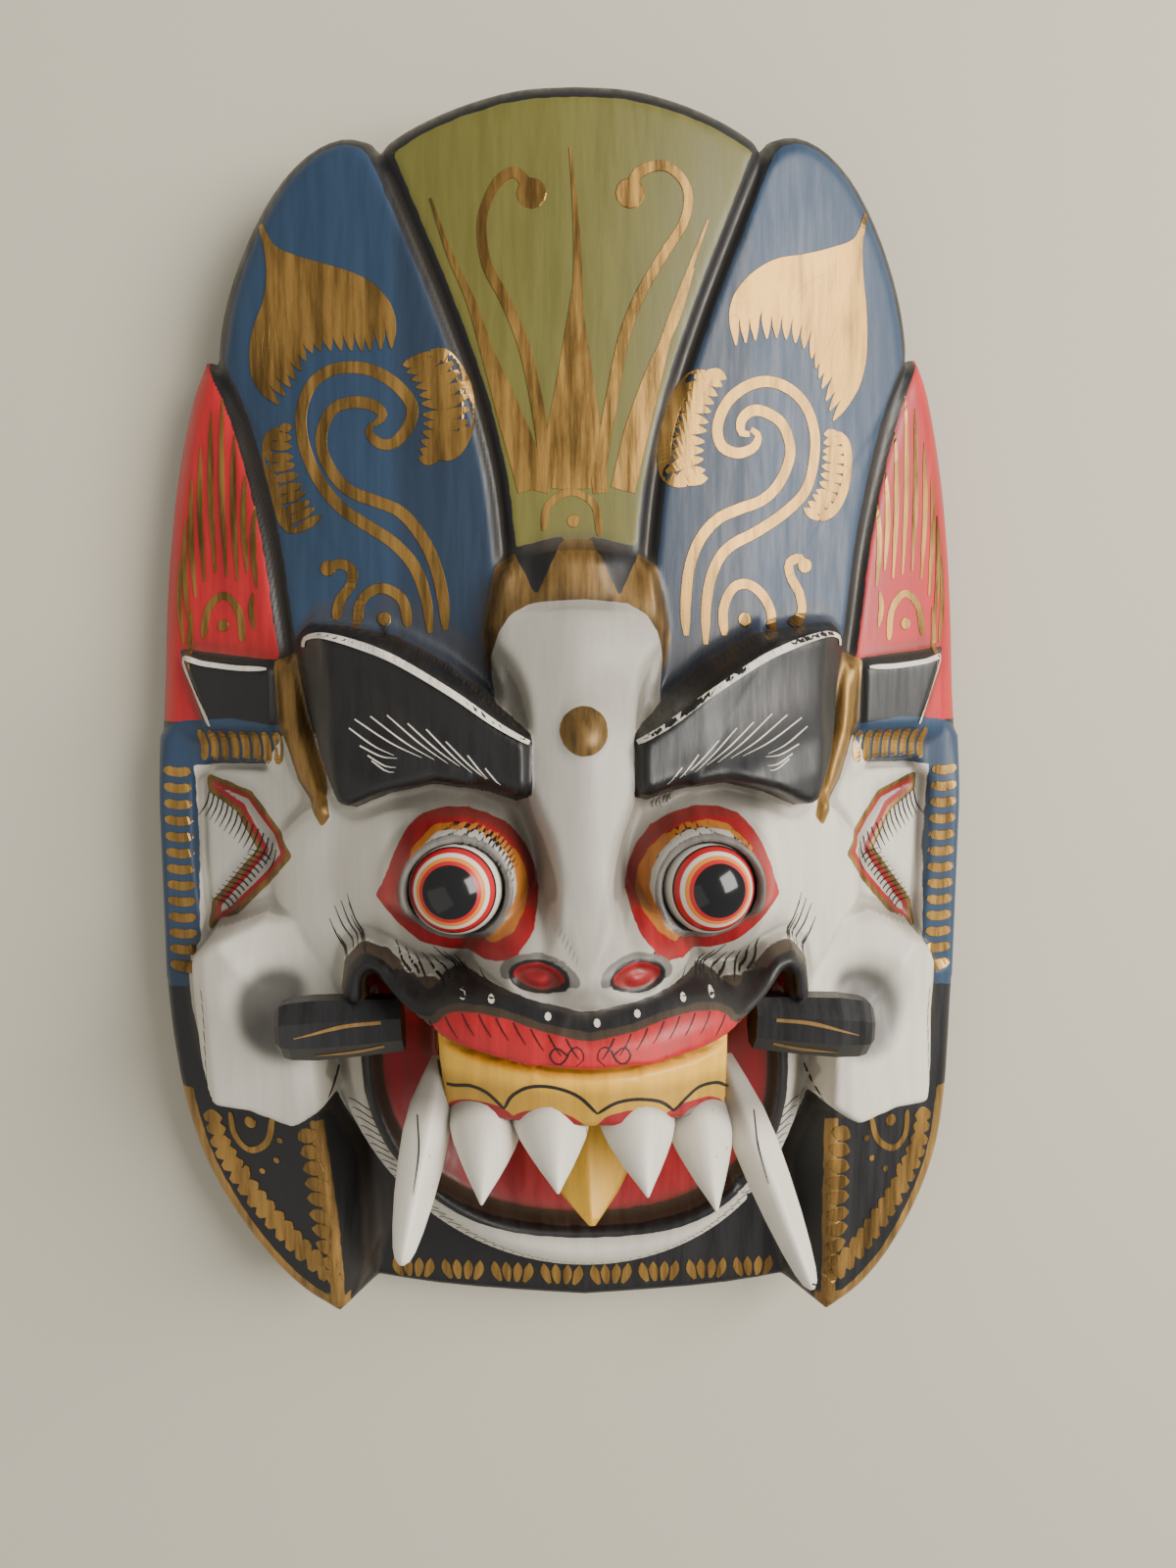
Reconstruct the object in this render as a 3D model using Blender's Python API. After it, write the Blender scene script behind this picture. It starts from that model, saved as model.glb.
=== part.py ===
"""Carved wooden demon mask with a painted fan crown, lying on its hollowed back.

One solid: a relief carved over an outline plate, with the eyes, teeth, tusks, horns and tongue
joined to it, and a hollow back. X runs across the face, Y up to the crown, Z out of the face.
"""
import math

import bmesh
import bpy
import numpy as np
from mathutils import Matrix, Vector

MM = 0.001

# Driving dimensions in millimetres. Every shape is laid out for the right half and mirrored.
CROWN_TOP = 153.8
WING_TIP = -154.6
HALF_WIDTH = 106.5
CENTRE_SHIFT = 1.7
CROWN_SKEW = 0.00025
CHIN_LEAN = 4.0
RIM_WIDTH = 15.0
HOLLOW_DEPTH = 26.0
FACE_POCKET_DEPTH = 20.0
DATUM = -8.0  # heights of the relief are counted from this level, behind the back plane
CARVED_TRIANGLES = 7400
GRID_CELLS = 250
DIAGONAL_ANGLE = math.radians(55.0)

EYE = (28.0, -29.3)
EYEBALL_RADIUS = 10.4
EYEBALL_HEIGHT = 74.5
TOOTH_HEIGHT = 97.0
WOOD_COLOUR = (0.78, 0.74, 0.66, 1.0)


# ---------------------------------------------------------------- small helpers

def ramp(low, high, value):
    """Smooth step from 0 at low to 1 at high."""
    t = np.clip((value - low) / (high - low), 0.0, 1.0)
    return t * t * (3.0 - 2.0 * t)


def blend_max(a, b, width):
    """The higher of two heights, rounded over width where they meet."""
    h = np.clip(0.5 + 0.5 * (a - b) / width, 0.0, 1.0)
    return b + (a - b) * h + width * h * (1.0 - h)


def spline(knots):
    """A smooth curve through (position, value) knots in rising order of position."""
    xs, ys = np.array(knots, float).T
    slopes = np.gradient(ys, xs)

    def value(x):
        x = np.clip(x, xs[0], xs[-1])
        i = np.clip(np.searchsorted(xs, x) - 1, 0, len(xs) - 2)
        h = xs[i + 1] - xs[i]
        t = (x - xs[i]) / h
        rise = ys[i + 1] - ys[i]
        return (ys[i] + t * (h * slopes[i] + t * (3 * rise - h * (2 * slopes[i] + slopes[i + 1])
                + t * (h * (slopes[i] + slopes[i + 1]) - 2 * rise))))
    return value


def inside(x, y, corners):
    """Distance to the outline of a polygon: above zero inside it, below zero outside."""
    nearest = np.full(np.shape(x), 1e9)
    within = np.zeros(np.shape(x), bool)
    for (ax, ay), (bx, by) in zip(corners, corners[1:] + corners[:1]):
        along = np.clip(((x - ax) * (bx - ax) + (y - ay) * (by - ay))
                        / ((bx - ax) ** 2 + (by - ay) ** 2), 0.0, 1.0)
        nearest = np.minimum(nearest, np.hypot(x - ax - along * (bx - ax), y - ay - along * (by - ay)))
        if ay != by:
            crosses = ((ay > y) != (by > y)) & (x < (bx - ax) * (y - ay) / (by - ay) + ax)
            within ^= crosses
    return np.where(within, nearest, -nearest)


def raise_block(z, top, depth_inside, wall):
    """Lift z to top where depth_inside is above zero, through a side wall of the given width."""
    return z + (top - z) * ramp(0.0, wall, depth_inside)


# ---------------------------------------------------------------- outline

def outline_half():
    """Right half of the outline, from the top centre down to the bottom centre."""
    points = []

    def arc(knots, steps):
        curve_x = spline([(i, k[0]) for i, k in enumerate(knots)])
        curve_y = spline([(i, k[1]) for i, k in enumerate(knots)])
        for t in np.linspace(0.0, len(knots) - 1.0, steps):
            points.append((float(curve_x(t)), float(curve_y(t))))

    arc([(0.0, CROWN_TOP), (13.0, 153.2), (26.0, 150.4), (37.5, 146.3), (46.0, 141.8)], 16)
    arc([(47.2, 143.4), (54.0, 145.4), (62.0, 143.4), (70.0, 137.4), (77.0, 128.0),
         (82.6, 116.8), (86.2, 105.8), (88.0, 95.5)], 20)
    arc([(90.6, 96.0), (95.0, 86.0), (99.6, 68.0), (102.8, 49.0), (105.0, 28.0),
         (HALF_WIDTH, 2.0), (HALF_WIDTH, -30.0), (HALF_WIDTH, -66.0)], 24)
    arc([(106.0, -80.0), (104.8, -96.0), (101.6, -112.0), (95.4, -127.5), (86.0, -141.0),
         (75.5, -149.8), (64.6, WING_TIP)], 20)
    points.append((57.0, -150.6))
    points.append((0.0, -151.0))
    return points


def outline_radius():
    """The outline's distance from the centre, as a function of direction."""
    half = outline_half()
    fine_angle, fine_radius = [], []
    for (ax, ay), (bx, by) in zip(half, half[1:]):
        for t in np.linspace(0.0, 1.0, 12, endpoint=False):
            px, py = ax + t * (bx - ax), ay + t * (by - ay)
            fine_angle.append(math.atan2(py, px))
            fine_radius.append(math.hypot(px, py))
    fine_angle.append(-math.pi / 2)
    fine_radius.append(math.hypot(*half[-1]))
    order = np.argsort(fine_angle)
    fine_angle = np.array(fine_angle)[order]
    fine_radius = np.array(fine_radius)[order]

    def radius(theta):
        folded = np.arcsin(np.clip(np.sin(theta), -1.0, 1.0))
        return np.interp(folded, fine_angle, fine_radius)
    return radius


# ---------------------------------------------------------------- relief, as heights over (x, y)

PANEL_LINE_INNER = spline([(42.0, 16.6), (65.0, 19.3), (83.0, 23.8), (101.0, 30.0), (122.0, 38.4), (140.0, 45.8)])
PANEL_LINE_OUTER = spline([(20.0, 69.0), (30.0, 70.5), (48.0, 73.0), (66.0, 77.0), (82.0, 81.8), (97.0, 88.6)])
COLUMN_HALF_WIDTH = spline([(-52.0, 12.0), (-42.0, 9.0), (-32.0, 5.6), (-20.0, 6.5), (-8.0, 10.8),
                            (4.0, 11.2), (14.0, 12.5), (20.0, 15.5), (26.0, 19.5), (34.0, 18.0)])
COLUMN_HEIGHT = spline([(-56.0, 89.0), (-50.0, 93.0), (-45.0, 95.5), (-38.0, 91.0), (-26.0, 84.0), (-12.0, 81.0),
                        (4.0, 77.0), (18.0, 68.0), (29.0, 61.0), (34.0, 55.0)])
BROW_CREST = spline([(11.0, 4.0), (19.0, 8.0), (29.0, 14.8), (40.6, 21.7), (52.6, 26.2), (64.0, 27.4)])
BROW_CREST_HEIGHT = spline([(11.0, 79.0), (28.0, 74.0), (44.0, 67.0), (56.0, 61.0), (66.0, 54.0)])
LIP_TOP = spline([(0.0, -52.6), (8.5, -51.2), (19.0, -48.9), (28.0, -49.3), (34.5, -52.0), (40.0, -49.6), (46.0, -46.4)])
LIP_BOTTOM = spline([(0.0, -64.8), (16.0, -63.8), (31.0, -61.0), (38.0, -57.4), (46.0, -52.0)])


def crown_height(x, y):
    """Fan of five panels: bowed across, rising towards the forehead, with grooves between them."""
    z = 45.0 - 0.0027 * x ** 2 + 0.065 * (140.0 - y)
    for line in (PANEL_LINE_INNER, PANEL_LINE_OUTER):
        z = z - 2.6 * np.exp(-((x - line(y)) / 2.0) ** 2)
    return z


def tiara_height(x, y, z):
    """Pointed band at the foot of the crown, behind the forehead."""
    band = [(-20.0, 47.5), (12.5, 45.6), (18.6, 42.0), (21.8, 26.0), (-20.0, 26.0)]
    top = 56.0 + 0.16 * (47.0 - y) - 0.10 * x - 1.6 * np.abs(((x + 7.0) % 14.0) - 7.0) / 7.0
    return raise_block(z, top, inside(x, y, band), 1.6)


def column_height(x, y):
    """Forehead column running down into the bridge and tip of the nose."""
    half = COLUMN_HALF_WIDTH(y)
    roof = COLUMN_HEIGHT(y) - 0.16 * x ** 1.4
    side = np.maximum(0.0, x - half)
    return roof - 3.2 * side


def eye_mound_height(x, y):
    """Domed socket rim around the eye, with a hood that stands over the eyeball."""
    r = np.hypot((x - EYE[0]) / 1.06, y - EYE[1])
    dome = 60.0 + 15.5 * (1.0 - (r / 23.0) ** 2)
    open_below = ramp(-7.0, -11.0, y - EYE[1] - 0.25 * (x - EYE[0]))
    hood = ramp(9.4, 10.2, r) * (1.0 - ramp(10.2, 17.0, r)) * (1.0 - open_below)
    return dome + 8.5 * hood


def face_height(x, y):
    """White face: shell of the cheeks, column and nose, eye mounds, nostrils."""
    shell = 30.0 + 36.0 * np.sqrt(np.clip(1.0 - (x / 76.0) ** 2 - ((y + 34.0) / 92.0) ** 2, 0.0, 1.0))
    z = blend_max(shell, eye_mound_height(x, y), 3.0)
    z = blend_max(z, column_height(x, y), 3.0)
    ala = 92.0 - 0.10 * ((x - 10.5) ** 2 + (y + 45.5) ** 2)
    z = blend_max(z, ala, 2.5)
    nostril = np.hypot((x - 10.6) / 5.6, (y + 46.0) / 3.2)
    return z - 3.2 * (1.0 - ramp(0.75, 1.15, nostril)) + 1.6 * (1.0 - ramp(0.0, 0.7, nostril))


def brow_height(x, y, z):
    """Heavy brow: a crest, a front face under it and a top that slopes back to the crown."""
    block = [(11.4, 4.2), (19.0, 10.5), (30.0, 19.5), (42.0, 26.0), (54.0, 28.4), (65.0, 28.2), (66.4, 22.0),
             (63.4, 8.0), (59.0, -5.0), (54.0, -13.2), (49.5, -12.6), (43.0, -9.6), (33.0, -7.0),
             (21.0, -8.4), (14.5, -10.6), (11.4, -9.8)]
    crest = BROW_CREST_HEIGHT(x)
    above = y - BROW_CREST(x)
    front = crest + 0.30 * np.clip(-above, 0.0, 30.0) - 1.6 * np.sin(np.clip(-above / 24.0, 0.0, 1.0) * np.pi)
    top = np.where(above > 0.0, crest - 1.5 * above, front)
    return raise_block(z, np.maximum(top, z), inside(x, y, block), 1.4)


def muzzle_height(x, y, z):
    """Upper lip rolled over the gum, standing out over the mouth."""
    lip_z = 97.0 - 0.0125 * x ** 2
    lip_top = LIP_TOP(x)
    lip_low = LIP_BOTTOM(x)
    t = np.clip((lip_top - y) / (lip_top - lip_low), 0.0, 1.0)
    lip = lip_z - 4.5 * (1.0 - ramp(0.0, 0.55, t)) + 2.0 * t
    lip_area = np.minimum(np.minimum(lip_top - y, y - lip_low), 46.5 - x)
    z = raise_block(z, np.maximum(lip, z), lip_area, 1.2)
    gum_area = np.minimum(np.minimum(33.6 - x, y + 78.5), lip_low - y + 1.2)
    gum = 95.5 - 0.0125 * x ** 2
    return raise_block(z, gum, gum_area, 1.5)


def mouth_height(x, y, z):
    """Mouth hollow with a rolled lower lip around it."""
    outer = np.hypot(x / 61.0, (y + 78.0) / 60.0)
    inner = (np.abs(x / 51.0) ** 2.3 + np.abs(np.minimum(y + 78.0, 0.0) / 41.5) ** 2.3) ** (1 / 2.3)
    ring = 58.0 - 19.0 * ramp(0.0, 1.0, np.clip((outer - 0.70) / 0.30, 0.0, 1.0)) ** 1.3
    low = y < -70.0
    lip_area = np.where(low, (1.0 - outer) * 60.0, -1.0)
    z = raise_block(z, ring, lip_area, 1.6)
    cavity_area = np.minimum((1.0 - inner) * 46.0, -57.5 - 0.10 * x - y)
    cavity = 42.0 + 10.0 * ramp(0.45, 1.0, inner)
    return raise_block(z, cavity, cavity_area, 3.2)


def cheek_height(x, y, z):
    """Flared cheek block with its crease and the dish where the horn lies."""
    block = [(97.6, -57.0), (96.0, -66.0), (93.2, -80.0), (90.4, -91.6), (80.0, -92.0), (69.0, -94.6),
             (62.0, -90.6), (48.0, -78.0), (46.0, -58.0), (58.0, -44.0), (76.0, -42.0), (90.0, -48.0)]
    outward = 58.0 - 0.52 * np.maximum(x - 67.5, 0.0) - 0.10 * np.maximum(67.5 - x, 0.0)
    upper = 46.0 + 0.42 * (-44.0 - y)
    top = np.minimum(outward, upper)
    top = top + 0.16 * np.clip(-70.0 - y, 0.0, 30.0) * ramp(66.0, 92.0, x)
    dish = np.hypot((x - 72.0) / 15.0, (y + 62.5) / 13.0)
    top = top - 5.0 * (1.0 - ramp(0.2, 1.0, dish))
    return raise_block(z, np.maximum(top, z), inside(x, y, block), 2.0)


def ear_height(x, y, z):
    """Ear panel, and the raised band that turns around it."""
    panel = [(95.5, -7.0), (76.0, -6.0), (70.0, 3.0), (52.0, 3.0), (46.0, -12.0), (50.0, -60.0), (84.0, -64.0),
             (95.5, -62.0)]
    slope = 23.0 + 0.66 * np.minimum(94.5 - x, 38.0)
    z = raise_block(z, np.maximum(slope, z), inside(x, y, panel), 1.5)
    slit = inside(x, y, [(92.0, -10.5), (80.7, -14.0), (69.6, -27.5), (76.5, -35.5), (87.0, -46.0), (93.0, -50.0),
                         (92.0, -44.0), (84.0, -35.0), (78.0, -28.0), (84.0, -18.0), (92.0, -13.5)])
    z = z - 1.4 * ramp(0.0, 1.6, slit)
    band = [(108.0, 0.5), (97.0, 4.6), (84.0, 5.4), (71.0, 3.6), (69.0, -11.0), (77.0, -6.6), (90.4, -6.6),
            (94.4, -11.0), (94.8, -30.0), (93.8, -46.0), (94.0, -64.0), (108.0, -66.0)]
    top = 27.0 + 0.55 * np.maximum(94.5 - x, 0.0)
    return raise_block(z, np.maximum(top, z), inside(x, y, band), 1.4)


def wing_height(x, y, z):
    """Side wing below the cheek block: a ridge inside, sloping down to the outer rim."""
    ridge = spline([(-156.0, 64.6), (-140.0, 64.4), (-115.0, 65.0), (-92.0, 66.0)])(y)
    area = np.minimum(-60.0 - y, x - ridge + 9.0)
    slope = 40.0 + 0.05 * (y + 150.0) - 0.46 * np.abs(x - ridge)
    inner_wall = slope - 1.3 * np.maximum(ridge - x, 0.0)
    top = np.where(x < ridge, inner_wall, slope)
    return raise_block(z, np.maximum(top, z), area, 1.5)


def relief(x, y, edge):
    """Height of the carved front over the back plane, for x of either sign.

    edge is the distance in to the outline, which rounds the rim.
    """
    x = np.abs(x)
    z = np.where(y > 2.0, crown_height(x, y), 30.0 - 0.10 * x)
    z = z + (crown_height(x, y) - z) * ramp(-10.0, 4.0, y)
    z = tiara_height(x, y, z)
    flap = [(97.6, 22.8), (72.0, 20.0), (72.4, 2.0), (90.4, 2.0)]
    z = raise_block(z, 42.0 - 0.32 * (x - 70.0), inside(x, y, flap), 1.4)
    z = ear_height(x, y, z)
    z = wing_height(x, y, z)
    face_area = inside(x, y, [(-20.0, 34.0), (14.0, 33.2), (19.6, 29.6), (21.6, 24.0), (19.0, 8.0), (56.0, -6.0),
                              (66.0, -16.0), (76.0, -26.0), (76.0, -60.0), (50.0, -80.0), (-20.0, -80.0)])
    z = blend_max(z, np.where(face_area > 0.0, z + (face_height(x, y) - z) * ramp(0.0, 2.4, face_area), 0.0), 1.0)
    z = brow_height(x, y, z)
    strip = inside(x, y, [(67.0, 22.0), (72.4, 19.8), (71.4, 4.0), (67.0, -9.0), (60.4, -19.0), (58.4, -17.0),
                          (60.0, -7.0), (64.6, 8.0)])
    z = z + 5.0 * np.clip(strip / 2.6, 0.0, 1.0)
    z = cheek_height(x, y, z)
    z = mouth_height(x, y, z)
    z = muzzle_height(x, y, z)
    dot = np.hypot(x, y - 5.4)
    z = z + 2.4 * np.sqrt(np.clip(1.0 - (dot / 5.3) ** 2, 0.0, 1.0))
    z = z - 6.0 * np.clip(1.0 - edge / 6.0, 0.0, 1.0) ** 2 * ramp(-20.0, 20.0, y)
    return z - 1.5 * np.clip(1.0 - edge / 1.5, 0.0, 1.0) ** 2 + DATUM


def hollow(x, y, fraction):
    """Height of the hollowed back: a flat rim, then a bowl with a deeper pocket behind the face."""
    bowl = ramp(0.0, 1.0, (1.0 - fraction) / 0.45)
    depth = HOLLOW_DEPTH * (1.0 - 0.25 * ramp(20.0, 110.0, y))
    pocket = FACE_POCKET_DEPTH * np.exp(-((x / 40.0) ** 2 + ((y + 14.0) / 32.0) ** 2) ** 2)
    return (depth * (1.0 - 0.25 * (x / HALF_WIDTH) ** 2) + pocket) * bowl


# ---------------------------------------------------------------- meshes

def hand_carved(x, y):
    """Shift even points to where the carver's hand put them: right side taller, chin leaning right."""
    return x + CHIN_LEAN * ramp(-60.0, -155.0, y), y * (1.0 + CROWN_SKEW * x) + CENTRE_SHIFT


def settle(verts):
    """Give every vertex the slight unevenness of the carving and turn millimetres into metres."""
    x, y = np.array([v.co[:2] for v in verts]).T
    for vert, px, py in zip(verts, *hand_carved(x, y)):
        vert.co = Vector((px, py, vert.co.z)) * MM


def plate_points(grid):
    """Spread a square grid over the outline. Returns x, y and the fraction of the way out, per vertex."""
    s, t = np.array([v.co[:2] for v in grid.verts]).T
    s, t = np.where(np.abs(s) < 1e-9, 1e-9, s), np.where(np.abs(t) < 1e-9, 1e-9, t)
    out = np.maximum(np.abs(s), np.abs(t))
    sideways = np.abs(s) >= np.abs(t)
    theta = np.where(sideways, DIAGONAL_ANGLE * t / np.abs(s),
                     math.pi / 2 * np.sign(t) - (math.pi / 2 - DIAGONAL_ANGLE) * s / np.abs(t) * np.sign(t))
    x_sign = np.where(sideways, np.sign(s), 1.0)
    radius = outline_radius()(theta) * out
    return x_sign * radius * np.cos(theta), radius * np.sin(theta), out


def carved_body(cells):
    """Relief in front, hollow behind, joined around the outline into one closed mesh."""
    mesh = bpy.data.meshes.new("carving")
    bm = bmesh.new()
    rims = []
    for is_front in (True, False):
        grid = bmesh.new()
        bmesh.ops.create_grid(grid, x_segments=cells, y_segments=cells, size=1.0)
        grid.verts.ensure_lookup_table()
        x, y, out = plate_points(grid)
        rim_radius = np.hypot(x, y) / np.maximum(out, 1e-6)
        if is_front:
            z = relief(x, y, (1.0 - out) * rim_radius)
        else:
            fraction = np.clip(np.hypot(x, y) / (rim_radius - RIM_WIDTH), 0.0, 1.0)
            z = hollow(x, y, fraction)
            bmesh.ops.reverse_faces(grid, faces=grid.faces)
        for vert, px, py, pz in zip(grid.verts, x, y, z):
            vert.co = (px, py, pz)
        settle(grid.verts)
        part = bpy.data.meshes.new("side")
        grid.to_mesh(part)
        grid.free()
        before = len(bm.edges)
        bm.from_mesh(part)
        bpy.data.meshes.remove(part)
        bm.edges.ensure_lookup_table()
        rims.append([e for e in bm.edges[before:] if e.is_boundary])
    bmesh.ops.bridge_loops(bm, edges=rims[0] + rims[1])
    bmesh.ops.recalc_face_normals(bm, faces=bm.faces)
    bm.to_mesh(mesh)
    bm.free()
    return mesh


def faceted_spike(name, base, tip, width, thickness, sides, blunt, collection):
    """Tapered, faceted spike from base to tip, in millimetres."""
    base, tip = Vector(base), Vector(tip)
    axis = tip - base
    bm = bmesh.new()
    bmesh.ops.create_cone(bm, cap_ends=True, segments=sides, radius1=0.5, radius2=0.5 * blunt, depth=1.0)
    bmesh.ops.scale(bm, vec=(width, thickness, axis.length), verts=bm.verts)
    turn = Vector((0.0, 0.0, 1.0)).rotation_difference(axis.normalized()).to_matrix().to_4x4()
    middle = (base + tip) / 2 + Vector((0.0, 0.0, DATUM))
    bmesh.ops.transform(bm, matrix=Matrix.Translation(middle) @ turn, verts=bm.verts)
    settle(bm.verts)
    return link_mesh(name, bm, collection)


def link_mesh(name, bm, collection):
    """Turn a bmesh into an object in the collection."""
    mesh = bpy.data.meshes.new(name)
    bm.to_mesh(mesh)
    bm.free()
    obj = bpy.data.objects.new(name, mesh)
    collection.objects.link(obj)
    return obj


def add_details(collection):
    """Solids that stand free of the relief: eyeballs, teeth, tusks, horns and tongue."""
    for side in (1.0, -1.0):
        ball = bmesh.new()
        bmesh.ops.create_uvsphere(ball, u_segments=20, v_segments=12, radius=EYEBALL_RADIUS)
        place = Vector((side * EYE[0], EYE[1], EYEBALL_HEIGHT + DATUM))
        bmesh.ops.translate(ball, vec=place, verts=ball.verts)
        settle(ball.verts)
        link_mesh("eyeball", ball, collection)
        for root_x, tip_x, tip_y, width in ((9.0, 8.8, -87.4, 16.5), (23.4, 24.0, -90.0, 14.5)):
            faceted_spike("tooth", (side * root_x, -72.0, TOOTH_HEIGHT - 0.0125 * root_x ** 2 - 9.0),
                          (side * tip_x, tip_y, 104.0), width, 17.0, 10, 0.10, collection)
        faceted_spike("tusk", (side * 32.0, -68.0, 78.0), (side * 42.2, -104.5, 104.0), 13.0, 11.0, 6, 0.34,
                      collection)
        faceted_spike("horn", (side * 42.0, -63.6, 64.0), (side * 69.5, -65.2, 64.0), 15.0, 13.0, 8, 0.78,
                      collection)
    faceted_spike("tongue", (0.0, -72.0, 44.0), (0.0, -106.5, 79.0), 46.0, 22.0, 6, 0.05, collection)


def new_collection(name):
    """Collection of the given name in the scene."""
    collection = bpy.data.collections.new(name)
    bpy.context.scene.collection.children.link(collection)
    return collection


def painted_wood():
    """Plain painted wood for the construction model."""
    material = bpy.data.materials.new("painted_wood")
    material.use_nodes = True
    shader = material.node_tree.nodes["Principled BSDF"]
    shader.inputs["Base Color"].default_value = WOOD_COLOUR
    shader.inputs["Roughness"].default_value = 0.5
    shader.inputs["Metallic"].default_value = 0.0
    return material


def build():
    """Carve the body, join the details and keep the back flat."""
    for old in list(bpy.data.objects):
        bpy.data.objects.remove(old)
    model = new_collection("demon_mask")
    details = new_collection("details")
    mask = bpy.data.objects.new("mask", carved_body(GRID_CELLS))
    model.objects.link(mask)
    mask.data.materials.append(painted_wood())
    full = len(mask.data.polygons) * 2
    thin = mask.modifiers.new("fewer_faces", "DECIMATE")
    thin.ratio = CARVED_TRIANGLES / full
    add_details(details)
    for piece in list(details.objects):
        piece.hide_render = True
        piece.display_type = "WIRE"
    join = mask.modifiers.new("details", "BOOLEAN")
    join.operation = "UNION"
    join.operand_type = "COLLECTION"
    join.collection = details
    join.solver = "EXACT"
    join.use_self = True


build()
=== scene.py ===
import functools
import math

import bpy
import numpy as np
from mathutils import Matrix, Vector
from mathutils.bvhtree import BVHTree


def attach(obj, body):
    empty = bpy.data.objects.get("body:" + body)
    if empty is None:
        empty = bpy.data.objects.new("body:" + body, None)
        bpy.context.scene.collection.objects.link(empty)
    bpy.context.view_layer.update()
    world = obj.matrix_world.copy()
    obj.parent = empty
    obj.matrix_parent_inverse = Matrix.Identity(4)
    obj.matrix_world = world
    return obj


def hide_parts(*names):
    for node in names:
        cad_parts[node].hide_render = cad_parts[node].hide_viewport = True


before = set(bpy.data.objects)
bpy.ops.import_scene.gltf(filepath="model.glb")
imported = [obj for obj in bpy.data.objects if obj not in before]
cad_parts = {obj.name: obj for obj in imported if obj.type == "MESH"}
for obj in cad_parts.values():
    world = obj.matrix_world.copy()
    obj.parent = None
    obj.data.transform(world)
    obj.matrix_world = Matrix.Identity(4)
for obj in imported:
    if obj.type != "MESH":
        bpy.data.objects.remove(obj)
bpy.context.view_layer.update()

bl_info = {
    "name": "Barong Mask",
    "version": (1, 0, 0),
    "blender": (4, 5, 0),
    "location": "View3D > Sidebar > Mask",
    "description": "Carved and painted wooden mask of a demon face, lying on its back",
    "category": "Object",
}

MM = 0.001

# Driving dimensions in millimetres, laid out for the right half and mirrored.
CROWN_TOP = 153.8
WING_TIP = -151.0
HALF_WIDTH = 104.8
CENTRE_SHIFT = -0.2
CROWN_SKEW = 0.00025
CHIN_LEAN = 4.0
RIM_WIDTH = 15.0
HOLLOW_DEPTH = 26.0
FACE_POCKET_DEPTH = 20.0
DATUM = -8.0  # heights of the relief are counted from this level, behind the back plane
EYE = (28.0, -29.3)
EYEBALL_RADIUS = 10.4
EYEBALL_HEIGHT = 74.5
TOOTH_HEIGHT = 97.0
GRID_CENTRE = -45.0
UPPER_CORNER = math.radians(57.6)
LOWER_CORNER = math.radians(59.5)
FACE_AREA = [(-20, 34), (14, 33.2), (19.6, 29.6), (21.6, 24), (19, 8), (56, -6), (66, -16), (76, -26),
             (76, -60), (50, -80), (-20, -80)]


FRONT_CELLS = 288
BACK_STEP = 4  # front cells to each cell of the plainer back
WALL_ROWS = (0.06, 0.3, 0.6, 0.85, 1.0)
EDGE_BEVEL = 0.9
BACK_MARK = -99.0
SMOOTH_ROUNDS = 2
PROUD_ROUNDS = 12
SOFTENING = ((0, 0), (0.3, 0.3), (-0.3, 0.3), (0.3, -0.3), (-0.3, -0.3))
EYEBALL_RINGS = 36
EYEBALL_SIDES = 64
EYE_RINGS_END = 1.2  # angle off the line of sight where the painted rings end, in radians
FLOOR_GAP = 0.0002
CAMERA_YAW = 0.0761
CAMERA_PITCH = 0.12166
CAMERA_ROLL = 0.00304
CAMERA_DISTANCE = 334.02
CAMERA_TARGET = (6.71, -15.7, -8.0)
CAMERA_LENS = 27.045
HORN_STRIPES = [[(45.5, -61.8), (54, -62.6), (65, -65.4)], [(45, -67.8), (52, -69.4), (60.5, -70.2)]]


# ---------------------------------------------------------------- curves and distances

def ramp(low, high, value):
    """Smooth step from 0 at low to 1 at high."""
    t = np.clip((value - low) / (high - low), 0.0, 1.0)
    return t * t * (3.0 - 2.0 * t)


def blend_max(a, b, width):
    """The higher of two heights, rounded over width where they meet."""
    h = np.clip(0.5 + 0.5 * (a - b) / width, 0.0, 1.0)
    return b + (a - b) * h + width * h * (1.0 - h)


def spline(knots):
    """A smooth curve through (position, value) knots in rising order of position."""
    xs, ys = np.array(knots, float).T
    slopes = np.gradient(ys, xs)

    def value(x):
        x = np.clip(x, xs[0], xs[-1])
        i = np.clip(np.searchsorted(xs, x) - 1, 0, len(xs) - 2)
        h = xs[i + 1] - xs[i]
        t = (x - xs[i]) / h
        rise = ys[i + 1] - ys[i]
        return (ys[i] + t * (h * slopes[i] + t * (3 * rise - h * (2 * slopes[i] + slopes[i + 1])
                + t * (h * (slopes[i] + slopes[i + 1]) - 2 * rise))))
    return value


def to_line(x, y, points):
    """Distance to an open line through the points, in millimetres."""
    nearest = np.full(np.shape(x), 1e9)
    for (ax, ay), (bx, by) in zip(points, points[1:]):
        along = np.clip(((x - ax) * (bx - ax) + (y - ay) * (by - ay))
                        / ((bx - ax) ** 2 + (by - ay) ** 2), 0.0, 1.0)
        nearest = np.minimum(nearest, np.hypot(x - ax - along * (bx - ax), y - ay - along * (by - ay)))
    return nearest


def inside(x, y, corners):
    """Distance to the outline of a polygon: above zero inside it, below zero outside."""
    within = np.zeros(np.shape(x), bool)
    for (ax, ay), (bx, by) in zip(corners, corners[1:] + corners[:1]):
        if ay != by:
            within ^= ((ay > y) != (by > y)) & (x < (bx - ax) * (y - ay) / (by - ay) + ax)
    away = to_line(x, y, corners + corners[:1])
    return np.where(within, away, -away)


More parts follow.
